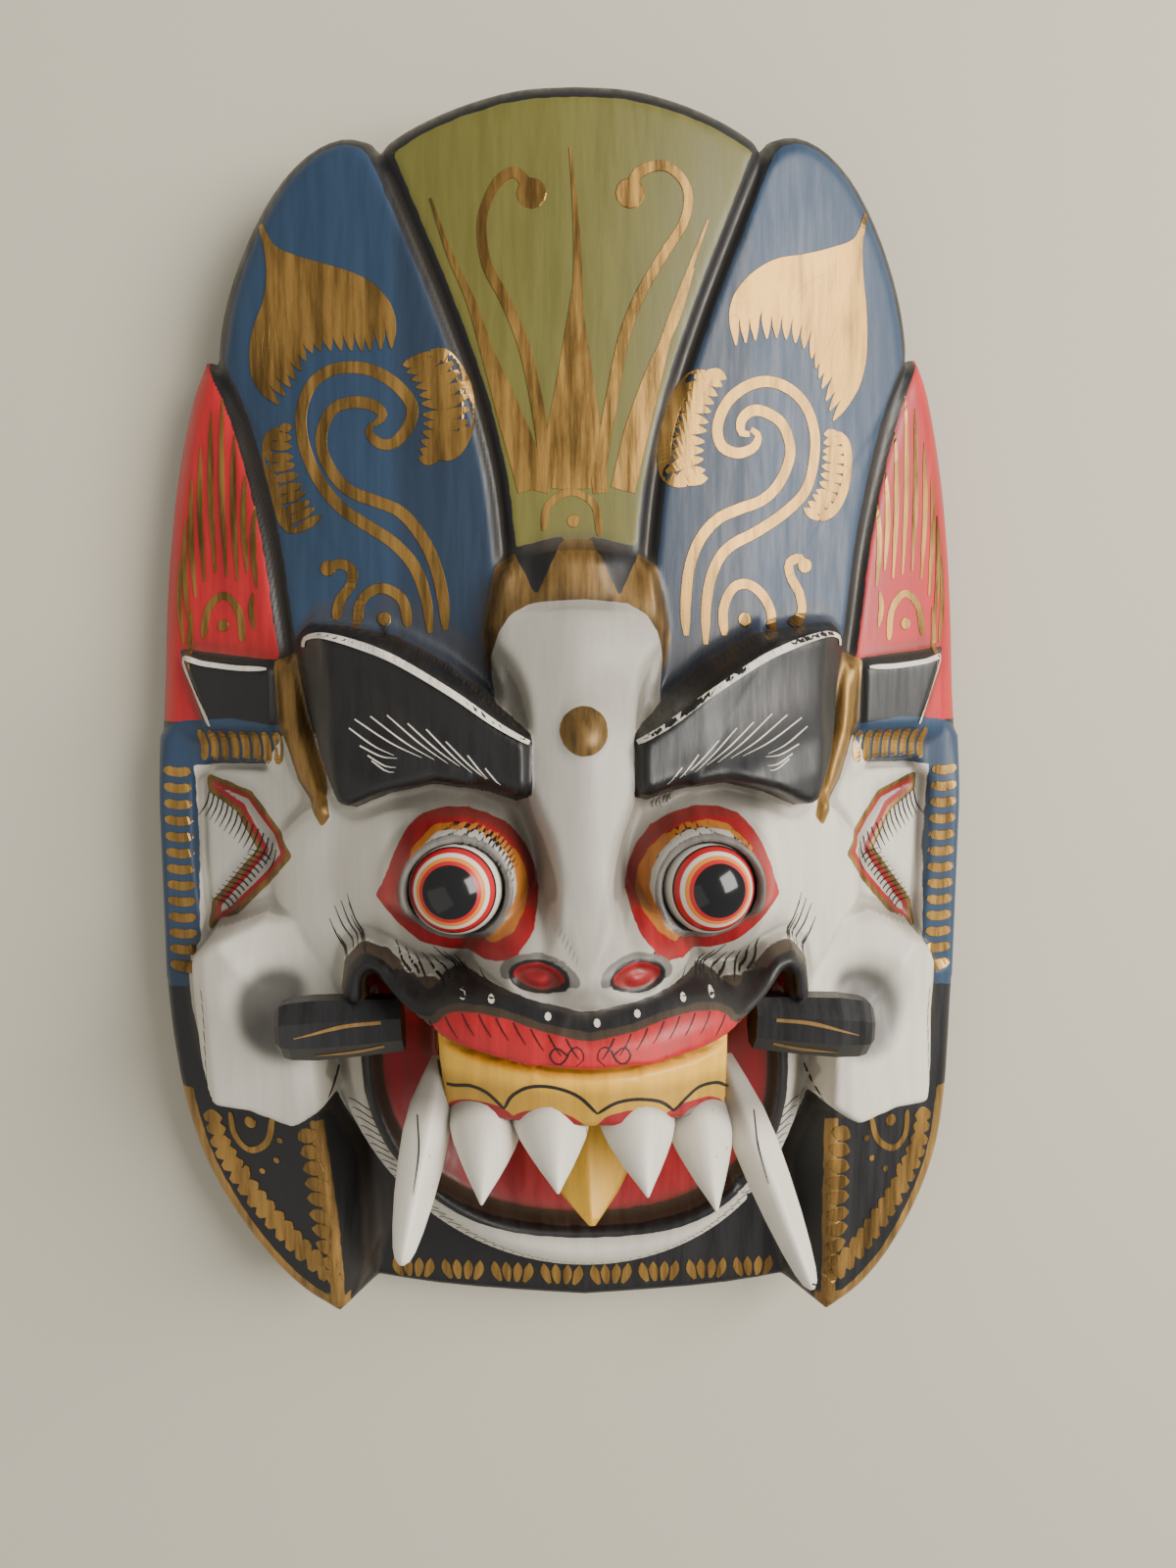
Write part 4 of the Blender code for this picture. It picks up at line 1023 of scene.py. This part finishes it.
def new_group(name, inputs, outputs):
    """A shader node group with float inputs of (name, default) and float outputs."""
    group = bpy.data.node_groups.new(name, "ShaderNodeTree")
    for label, default in inputs:
        socket = group.interface.new_socket(name=label, in_out="INPUT", socket_type="NodeSocketFloat")
        socket.default_value = default
    for label in outputs:
        group.interface.new_socket(name=label, in_out="OUTPUT", socket_type="NodeSocketFloat")
    start = group.nodes.new("NodeGroupInput")
    end = group.nodes.new("NodeGroupOutput")
    return group, start, end


def place_of(tree, stretch=(1.0, 1.0, 1.0)):
    """The carving's own coordinates, stretched."""
    where = add_node(tree, "ShaderNodeTexCoord").outputs["Object"]
    return add_node(tree, "ShaderNodeMapping", (("Vector", where), ("Scale", stretch))).outputs[0]


def coat_edge_group():
    """Turns the distance inside a paint into its share, with a hand-painted wobble at the edge."""
    group, start, end = new_group("coat edge", (("Distance", 0.0),), ("Share",))
    wobble = noise(group, 260.0, 2.0, place_of(group))
    shift = calculate(group, "MULTIPLY", calculate(group, "SUBTRACT", wobble, 0.5), 0.7)
    moved = calculate(group, "ADD", start.outputs["Distance"], shift)
    group.links.new(spread(group, moved, -0.12, 0.12), end.inputs["Share"])
    return group


def brushwork_group():
    """Long brush streaks, soft blotches and the fine weave that show through the paint."""
    group, start, end = new_group("brushwork", (("Size", 1.0),), ("Streaks", "Blotches", "Weave", "Relief"))
    streaks = noise(group, 60.0, 5.0, place_of(group, (6.0, 0.55, 1.6)), 0.65)
    blotches = noise(group, 26.0, 3.0, place_of(group))
    weave = noise(group, 900.0, 2.0, place_of(group, (1.0, 0.5, 1.0)))
    relief = calculate(group, "ADD", calculate(group, "MULTIPLY", streaks, 0.6),
                       calculate(group, "MULTIPLY", weave, 0.25))
    for name, value in (("Streaks", streaks), ("Blotches", blotches), ("Weave", weave), ("Relief", relief)):
        group.links.new(calculate(group, "MULTIPLY", value, start.outputs["Size"]), end.inputs[name])
    return group


def wear_dirt_and_shade_group():
    """Wear on the parts that stand proud, and dirt with painted shade darkening the parts that lie low."""
    group, start, end = new_group("handling", (("Proud", 0.0), ("Wear", 0.5)), ("Worn", "Dirt"))
    fine = noise(group, 420.0, 4.0, place_of(group), 0.7)
    broad = noise(group, 45.0, 2.0, place_of(group))
    rough = calculate(group, "MULTIPLY", fine, calculate(group, "MULTIPLY", broad, 4.0))
    reach = calculate(group, "MULTIPLY", calculate(group, "MULTIPLY", start.outputs["Proud"], rough),
                      start.outputs["Wear"])
    group.links.new(spread(group, reach, 0.52, 0.6), end.inputs["Worn"])
    # Painted shade with the dirt: the lower a part lies below its surroundings, the darker it is made.
    low = calculate(group, "MULTIPLY", start.outputs["Proud"], -1.0)
    dirt_and_shade_share = calculate(group, "MULTIPLY", spread(group, low, 0.05, 0.9), calculate(group, "ADD", broad, 0.35))
    group.links.new(dirt_and_shade_share, end.inputs["Dirt"])
    return group


def shared_group(name, maker):
    """The node group of that name, made the first time it is asked for."""
    return bpy.data.node_groups.get(name) or maker()


def use_group(tree, name, maker, inputs=()):
    """Outputs of a shared group placed in the tree with the given inputs."""
    node = tree.nodes.new("ShaderNodeGroup")
    node.node_tree = shared_group(name, maker)
    for key, value in inputs:
        if isinstance(value, bpy.types.NodeSocket):
            tree.links.new(value, node.inputs[key])
        else:
            node.inputs[key].default_value = value
    return node.outputs


def attribute(tree, name):
    """A value stored on the mesh's points."""
    return add_node(tree, "ShaderNodeAttribute", attribute_name=name).outputs["Fac"]


def new_material(name):
    """A material with its node tree and its shader node."""
    material = bpy.data.materials.new(name)
    material.use_nodes = True
    return material, material.node_tree, material.node_tree.nodes["Principled BSDF"]


def finish_surface(tree, shader, colour, roughness, depth=0.00012, coat=0.06):
    """Joins colour and roughness to the shader, with brushwork as a shallow bump."""
    work = use_group(tree, "brushwork", brushwork_group)
    tree.links.new(colour, shader.inputs["Base Color"])
    tree.links.new(roughness, shader.inputs["Roughness"])
    bump = add_node(tree, "ShaderNodeBump",
                    (("Height", work["Relief"]), ("Distance", depth), ("Strength", 0.6)))
    tree.links.new(bump.outputs["Normal"], shader.inputs["Normal"])
    shader.inputs["Coat Weight"].default_value = coat
    shader.inputs["Coat Roughness"].default_value = 0.3


def toned(tree, colour, darker=0.62, lighter=1.12):
    """A paint colour that varies along its brush streaks and blotches."""
    work = use_group(tree, "brushwork", brushwork_group)
    level = calculate(tree, "ADD", calculate(tree, "MULTIPLY", work["Streaks"], 0.7),
                      calculate(tree, "MULTIPLY", work["Blotches"], 0.3))
    strength = spread(tree, level, 0.32, 0.68, darker, lighter)
    return add_node(tree, "ShaderNodeHueSaturation", (("Color", colour), ("Value", strength))).outputs[0]


# Darkest and lightest streak of each paint; the others vary from 0.72 to 1.15
STREAK_RANGE = {"white": (0.9, 1.03), "gold": (0.35, 1.35), "olive": (0.86, 1.1), "blue": (0.84, 1.12),
                "yellow": (0.85, 1.15), "bare": (0.6, 1.2)}


def painted_wood(look):
    """The carved body: every coat in turn over black, then airbrushing with painted shade, dirt with painted
    shade in the low parts, and wear.
    """
    material, tree, shader = new_material("painted_wood")
    plain = toned(tree, tuple(look.black), 0.5, 1.5)
    gilt = None
    for paint in PAINTS:
        inside_paint = attribute(tree, "coat_" + paint)
        share = use_group(tree, "coat edge", coat_edge_group, (("Distance", inside_paint),))["Share"]
        colour = toned(tree, tuple(getattr(look, paint)), *STREAK_RANGE.get(paint, (0.72, 1.15)))
        plain = blend(tree, share, plain, colour)
        if paint == "gold":
            gilt = share
    # Painted shade: the shade share darkens the colour towards black in the hollows, at the lash roots and at
    # the top of the lip.
    shade = attribute(tree, "shade")
    plain = blend(tree, calculate(tree, "MULTIPLY", shade, 0.8), plain, tuple(look.black))
    wear_and_low_shade = use_group(tree, "handling", wear_dirt_and_shade_group,
                        (("Proud", attribute(tree, "proud")), ("Wear", look.wear)))
    # Dirt and painted shade: the parts that lie low are darkened towards the grime colour.
    plain = blend(tree, calculate(tree, "MULTIPLY", wear_and_low_shade["Dirt"], look.dirt), plain, tuple(look.grime_and_shade))
    plain = blend(tree, wear_and_low_shade["Worn"], plain, tuple(look.worn))
    work = use_group(tree, "brushwork", brushwork_group)
    finish_surface(tree, shader, plain, spread(tree, work["Streaks"], 0.3, 0.7, 0.36, 0.56))
    tree.links.new(calculate(tree, "MULTIPLY", gilt, 0.55), shader.inputs["Metallic"])
    return material


def plain_paint(name, colour, darker=0.8, lighter=1.12, rough=(0.36, 0.55), metallic=0.0):
    """One paint over a whole piece or a set of strokes."""
    material, tree, shader = new_material(name)
    work = use_group(tree, "brushwork", brushwork_group)
    finish_surface(tree, shader, toned(tree, tuple(colour), darker, lighter),
                   spread(tree, work["Streaks"], 0.3, 0.7, *rough))
    shader.inputs["Metallic"].default_value = metallic
    return material


def enamel(look):
    """Teeth and tusks: warm white, turning grey towards the root as painted shade where they meet the mask,
    with dirt in the grain.
    """
    material, tree, shader = new_material("enamel_white")
    root = attribute(tree, "along")
    white = toned(tree, tuple(look.white), 0.93, 1.03)
    # Painted shade: grey towards the root.
    colour = blend(tree, spread(tree, root, 0.42, 0.22), white, tuple(look.grey))
    specks = spread(tree, noise(tree, 500.0, 3.0, place_of(tree, (1.0, 0.3, 1.0)), 0.7), 0.7, 0.74)
    colour = blend(tree, calculate(tree, "MULTIPLY", specks, 0.7), colour, tuple(look.grime_and_shade))
    work = use_group(tree, "brushwork", brushwork_group)
    finish_surface(tree, shader, colour, spread(tree, work["Streaks"], 0.3, 0.7, 0.34, 0.5))
    return material


def eye_paint(look):
    """Rings of paint round the line of sight: black pupil, red, orange, white, red, black and white."""
    material, tree, shader = new_material("eye_paint")
    distance = attribute(tree, "from_gaze")
    colour = tuple(look.white)
    rings = ((9.9, look.black), (9.2, look.red), (8.3, look.white), (7.5, look.orange), (6.7, look.red),
             (5.9, look.black))
    for radius, paint in rings:
        colour = blend(tree, spread(tree, distance, radius + 0.1, radius - 0.1), colour, tuple(paint))
    gloss = spread(tree, distance, 6.2, 5.6, 0.4, 0.12)
    finish_surface(tree, shader, colour, gloss, 0.00005)
    return material


# ---------------------------------------------------------------- building the pieces

@functools.lru_cache(maxsize=1)
def body_shape():
    """The carved body's points and faces, worked out once."""
    return carved_points()


@functools.lru_cache(maxsize=1)
def surface_tree():
    """Everything paint can lie on, in even millimetres, for laying strokes."""
    (x, y, z, _), faces = body_shape()
    points = np.stack([x, y, z], axis=1).tolist()
    faces = list(faces)
    for _, _, (more, more_faces) in spikes():
        first = len(points)
        points += [tuple(p) for p in more]
        faces += [tuple(i + first for i in face) for face in more_faces]
    return BVHTree.FromPolygons(points, faces)


def add_attribute(piece, name, values):
    """Stores one value for each point of the piece."""
    layer = piece.data.attributes.new(name, "FLOAT", "POINT")
    layer.data.foreach_set("value", np.asarray(values, np.float32))


def carve_body(look):
    """The carved body with its paint areas, shading and wear stored on its points."""
    (x, y, z, edge), faces = body_shape()
    body = new_piece("carved_mask", np.stack([x, y, z], axis=1), faces)
    for paint, area in paint_areas(x, y, edge).items():
        add_attribute(body, "coat_" + paint, area)
    grid = (FRONT_CELLS + 1) ** 2
    proud = proudness(z[:grid].copy(), FRONT_CELLS)
    add_attribute(body, "proud", np.concatenate([proud, np.zeros(len(z) - grid)]))
    add_attribute(body, "shade", np.where(edge > -1.0, soft_shading(x, y), 0.0))
    body.data.materials.append(painted_wood(look))


def set_eyes(look):
    """Both eyeballs, turned along their line of sight, with rings of paint."""
    material = eye_paint(look)
    for side, name in ((1.0, "eyeball_right"), (-1.0, "eyeball_left")):
        gaze = Vector((1.3 * side, 0.8, 10.2)).normalized()
        turn = gaze.to_track_quat("Z", "Y")
        centre = Vector((side * EYE[0], EYE[1], EYEBALL_HEIGHT + DATUM))
        points = [centre + turn @ Vector((0.0, 0.0, EYEBALL_RADIUS))]
        reach = [0.0]
        for ring in range(1, EYEBALL_RINGS):
            angle = math.pi * ring / EYEBALL_RINGS
            for turn_by in np.linspace(0.0, 2.0 * math.pi, EYEBALL_SIDES, endpoint=False):
                way = Vector((math.sin(angle) * math.cos(turn_by), math.sin(angle) * math.sin(turn_by),
                              math.cos(angle)))
                points.append(centre + turn @ (way * EYEBALL_RADIUS))
                share = min(angle, math.pi / 2) if angle > EYE_RINGS_END else math.sin(angle)
                reach.append(EYEBALL_RADIUS * share)
        points.append(centre - turn @ Vector((0.0, 0.0, EYEBALL_RADIUS)))
        reach.append(EYEBALL_RADIUS * 2.0)
        faces = []
        last = len(points) - 1
        for i in range(EYEBALL_SIDES):
            j = (i + 1) % EYEBALL_SIDES
            faces.append((0, 1 + i, 1 + j))
            faces.append((last, last - EYEBALL_SIDES + j, last - EYEBALL_SIDES + i))
            for ring in range(EYEBALL_RINGS - 2):
                a = 1 + ring * EYEBALL_SIDES
                faces.append((a + i, a + EYEBALL_SIDES + i, a + EYEBALL_SIDES + j, a + j))
        ball = new_piece(name, [tuple(p) for p in points], faces)
        add_attribute(ball, "from_gaze", reach)
        ball.data.materials.append(material)


def set_spikes(kinds, materials):
    """Adds the spikes of those kinds, numbered where a kind has several on a side."""
    counts = {}
    for kind, side, (points, faces) in spikes():
        if kind not in kinds:
            continue
        label = kind + {1.0: "_right", -1.0: "_left", 0.0: ""}[side]
        counts[label] = counts.get(label, 0) + 1
        name = label + ("_%d" % counts[label] if kind == "tooth" else "")
        piece = new_piece(name, points, faces, smooth=kind in ("tooth", "tusk", "tongue"))
        sections = {"tooth": TOOTH_PROFILE, "tusk": TUSK_PROFILE, "horn": HORN_PROFILE,
                    "tongue": TONGUE_PROFILE}[kind]
        sides = len(points) // len(sections)
        add_attribute(piece, "along", np.repeat([t for t, _ in sections], sides))
        piece.data.materials.append(materials[kind])


def lay_stage(stage):
    """Plain floor under the mask, a large soft light to its right, weak fill and the camera above."""
    size = stage.floor_size
    mesh = bpy.data.meshes.new("floor")
    corners = [(-size, -size, 0.0), (size, -size, 0.0), (size, size, 0.0), (-size, size, 0.0)]
    mesh.from_pydata(corners, [], [(0, 1, 2, 3)])
    floor = bpy.data.objects.new("floor", mesh)
    floor.location.z = -FLOOR_GAP
    bpy.context.scene.collection.objects.link(floor)
    material, _, shader = new_material("floor_paint")
    shader.inputs["Base Color"].default_value = stage.floor_colour
    shader.inputs["Roughness"].default_value = 0.7
    mesh.materials.append(material)
    for name, place, width, power in (("window_light", (0.95, 0.35, 0.95), 0.9, stage.key_power),
                                      ("fill_light", (-0.9, -0.5, 1.1), 1.4, stage.fill_power)):
        lamp = bpy.data.lights.new(name, "AREA")
        lamp.size = width
        lamp.energy = power
        lamp.color = (1.0, 0.96, 0.9)
        holder = bpy.data.objects.new(name, lamp)
        holder.location = place
        holder.rotation_euler = (-Vector(place)).to_track_quat("-Z", "Y").to_euler()
        bpy.context.scene.collection.objects.link(holder)
    world = bpy.data.worlds.new("studio")
    world.use_nodes = True
    world.node_tree.nodes["Background"].inputs["Color"].default_value = (1.0, 0.97, 0.92, 1.0)
    world.node_tree.nodes["Background"].inputs["Strength"].default_value = stage.room_light
    bpy.context.scene.world = world
    place_camera()


def place_camera():
    """Camera above the mask, tipped a little towards its forehead and its right."""
    lens = bpy.data.cameras.new("camera")
    lens.sensor_fit = "VERTICAL"
    lens.sensor_height = 36.0
    lens.lens = CAMERA_LENS
    lens.clip_start = 0.01
    camera = bpy.data.objects.new("camera", lens)
    bpy.context.scene.collection.objects.link(camera)
    back = Vector((-math.sin(CAMERA_YAW) * math.cos(CAMERA_PITCH), math.sin(CAMERA_PITCH),
                   math.cos(CAMERA_YAW) * math.cos(CAMERA_PITCH)))
    level = Vector((math.cos(CAMERA_YAW), 0.0, math.sin(CAMERA_YAW)))
    up = back.cross(level)
    right = math.cos(CAMERA_ROLL) * level + math.sin(CAMERA_ROLL) * up
    up = back.cross(right)
    pose = Matrix((right, up, back)).transposed().to_4x4()
    pose.translation = (Vector(CAMERA_TARGET) + back * CAMERA_DISTANCE) * MM
    camera.matrix_world = pose
    bpy.context.scene.camera = camera


# ---------------------------------------------------------------- add-on

def paint_property(name, description, colour):
    """A colour the user can change."""
    return bpy.props.FloatVectorProperty(name=name, description=description, subtype="COLOR", size=4, min=0.0,
                                         max=1.0, default=(*colour, 1.0))


def amount_property(name, description, default, top=1.0):
    """An amount from zero to top."""
    return bpy.props.FloatProperty(name=name, description=description, default=default, min=0.0, max=top)


class MaskLook(bpy.types.PropertyGroup):
    """Paint colours and how hard the mask has been used."""
    olive: paint_property("Olive", "Middle panel of the crown", (0.235, 0.215, 0.035))
    blue: paint_property("Blue", "Side panels of the crown and the ears", (0.022, 0.052, 0.105))
    red: paint_property("Red", "Outer panels, mouth, lip and eye rims", (0.56, 0.014, 0.02))
    white: paint_property("White", "Face, teeth and tusks", (0.76, 0.72, 0.62))
    # Grey also serves as painted shade at the tooth roots.
    grey: paint_property("Grey", "Soft lines round the eyes and teeth", (0.27, 0.25, 0.22))
    orange: paint_property("Orange", "Rings in the eye sockets", (0.78, 0.27, 0.035))
    gold: paint_property("Gold", "Bands and ornament", (0.36, 0.205, 0.055))
    yellow: paint_property("Yellow", "Gum", (0.9, 0.5, 0.045))
    brown: paint_property("Brown", "Line inside the mouth and under the moustache", (0.07, 0.045, 0.025))
    black: paint_property("Black", "Brows, rims, wings and lines", (0.008, 0.008, 0.009))
    bare: paint_property("Bare wood", "Hollowed back", (0.3, 0.19, 0.1))
    # The grime colour also serves as painted shade in the low parts.
    grime_and_shade: paint_property("Grime", "Dirt in the corners", (0.06, 0.045, 0.03))
    worn: paint_property("Worn edge", "Wood where the paint has rubbed off", (0.42, 0.33, 0.22))
    wear: amount_property("Wear", "How much the proud edges are rubbed", 0.17, 2.0)
    # The dirt amount also sets how strongly painted shade darkens the low parts.
    dirt: amount_property("Dirt", "How much dirt lies in the corners", 0.5)


class StageLook(bpy.types.PropertyGroup):
    """The floor and the light."""
    floor_size: bpy.props.FloatProperty(name="Floor size", description="Half the width of the floor",
                                        default=3.0, min=0.5, unit="LENGTH")
    floor_colour: paint_property("Floor", "Colour of the floor", (0.60, 0.56, 0.45))
    key_power: amount_property("Window light", "Power of the large light, in watts", 33.0, 200.0)
    fill_power: amount_property("Fill light", "Power of the weak light, in watts", 3.0, 100.0)
    room_light: amount_property("Room light", "Brightness of the surroundings", 0.42, 5.0)


class MASK_OT_carve(bpy.types.Operator):
    """Carve and paint the body of the mask"""
    bl_idname = "mask.carve"
    bl_label = "Carved mask"

    def execute(self, context):
        carve_body(context.scene.mask_look)
        return {"FINISHED"}


class MASK_OT_eyes(bpy.types.Operator):
    """Set the two painted eyeballs in their sockets"""
    bl_idname = "mask.eyes"
    bl_label = "Eyes"

    def execute(self, context):
        set_eyes(context.scene.mask_look)
        return {"FINISHED"}


class MASK_OT_teeth(bpy.types.Operator):
    """Set the teeth, tusks and tongue"""
    bl_idname = "mask.teeth"
    bl_label = "Teeth, tusks and tongue"

    def execute(self, context):
        look = context.scene.mask_look
        white = enamel(look)
        tongue = plain_paint("tongue_gold", look.yellow, 0.55, 0.95, metallic=0.15)
        set_spikes(("tooth", "tusk", "tongue"), {"tooth": white, "tusk": white, "tongue": tongue})
        return {"FINISHED"}


class MASK_OT_horns(bpy.types.Operator):
    """Set the two bristles that stand out at the corners of the mouth"""
    bl_idname = "mask.horns"
    bl_label = "Mouth horns"

    def execute(self, context):
        look = context.scene.mask_look
        set_spikes(("horn",), {"horn": plain_paint("horn_black", look.black, 0.6, 2.2, (0.3, 0.45))})
        return {"FINISHED"}


class MASK_OT_gild(bpy.types.Operator):
    """Brush the gold ornament on the crown, ears and wings"""
    bl_idname = "mask.gild"
    bl_label = "Gold ornament"

    def execute(self, context):
        brush = Brush()
        gild(brush)
        look = context.scene.mask_look
        brush.finish("gold_ornament", plain_paint("gold_paint", look.gold, 0.35, 1.45, (0.26, 0.44), 0.8))
        return {"FINISHED"}


class MASK_OT_ink(bpy.types.Operator):
    """Draw the fine black lines"""
    bl_idname = "mask.ink"
    bl_label = "Black lines"

    def execute(self, context):
        brush = Brush()
        ink(brush)
        brush.finish("black_lines", plain_paint("ink_black", context.scene.mask_look.black))
        return {"FINISHED"}


class MASK_OT_highlight(bpy.types.Operator):
    """Draw the white lines and dots, and the brown stripes on the horns"""
    bl_idname = "mask.highlight"
    bl_label = "White lines and horn stripes"

    def execute(self, context):
        look = context.scene.mask_look
        brush = Brush()
        highlight(brush)
        brush.finish("white_lines", plain_paint("line_white", look.white, 0.85, 1.1))
        brush = Brush()
        for sign in (1.0, -1.0):
            for line in HORN_STRIPES:
                brush.stroke(flipped(line, sign), 1.2, HAIR)
        brush.finish("horn_stripes", plain_paint("stripe_brown", look.gold, 0.4, 0.9))
        return {"FINISHED"}


class MASK_OT_stage(bpy.types.Operator):
    """Lay the floor and set the lights and the camera"""
    bl_idname = "mask.stage"
    bl_label = "Stage"

    def execute(self, context):
        lay_stage(context.scene.mask_stage)
        return {"FINISHED"}


STEPS = (MASK_OT_carve, MASK_OT_eyes, MASK_OT_teeth, MASK_OT_horns, MASK_OT_gild, MASK_OT_ink,
         MASK_OT_highlight, MASK_OT_stage)


class MASK_PT_panel(bpy.types.Panel):
    """Sidebar panel with the colours, the amounts and a button for each step"""
    bl_idname = "MASK_PT_panel"
    bl_label = "Barong Mask"
    bl_space_type = "VIEW_3D"
    bl_region_type = "UI"
    bl_category = "Mask"

    def draw(self, context):
        layout = self.layout
        for settings in (context.scene.mask_look, context.scene.mask_stage):
            box = layout.box()
            for name in settings.bl_rna.properties.keys():
                if name not in ("rna_type", "name"):
                    box.prop(settings, name)
        for step in STEPS:
            layout.operator(step.bl_idname)


CLASSES = (MaskLook, StageLook, *STEPS, MASK_PT_panel)


def register():
    """Adds the settings, the steps and the panel."""
    for cls in CLASSES:
        bpy.utils.register_class(cls)
    bpy.types.Scene.mask_look = bpy.props.PointerProperty(type=MaskLook)
    bpy.types.Scene.mask_stage = bpy.props.PointerProperty(type=StageLook)


def unregister():
    """Takes away what register added."""
    del bpy.types.Scene.mask_stage
    del bpy.types.Scene.mask_look
    for cls in reversed(CLASSES):
        bpy.utils.unregister_class(cls)


def main():
    """Runs every step in order."""
    register()
    for step in STEPS:
        group, name = step.bl_idname.split(".")
        if getattr(getattr(bpy.ops, group), name)() != {"FINISHED"}:
            raise RuntimeError("%s did not finish" % step.bl_label)


if __name__ == "__main__":
    main()
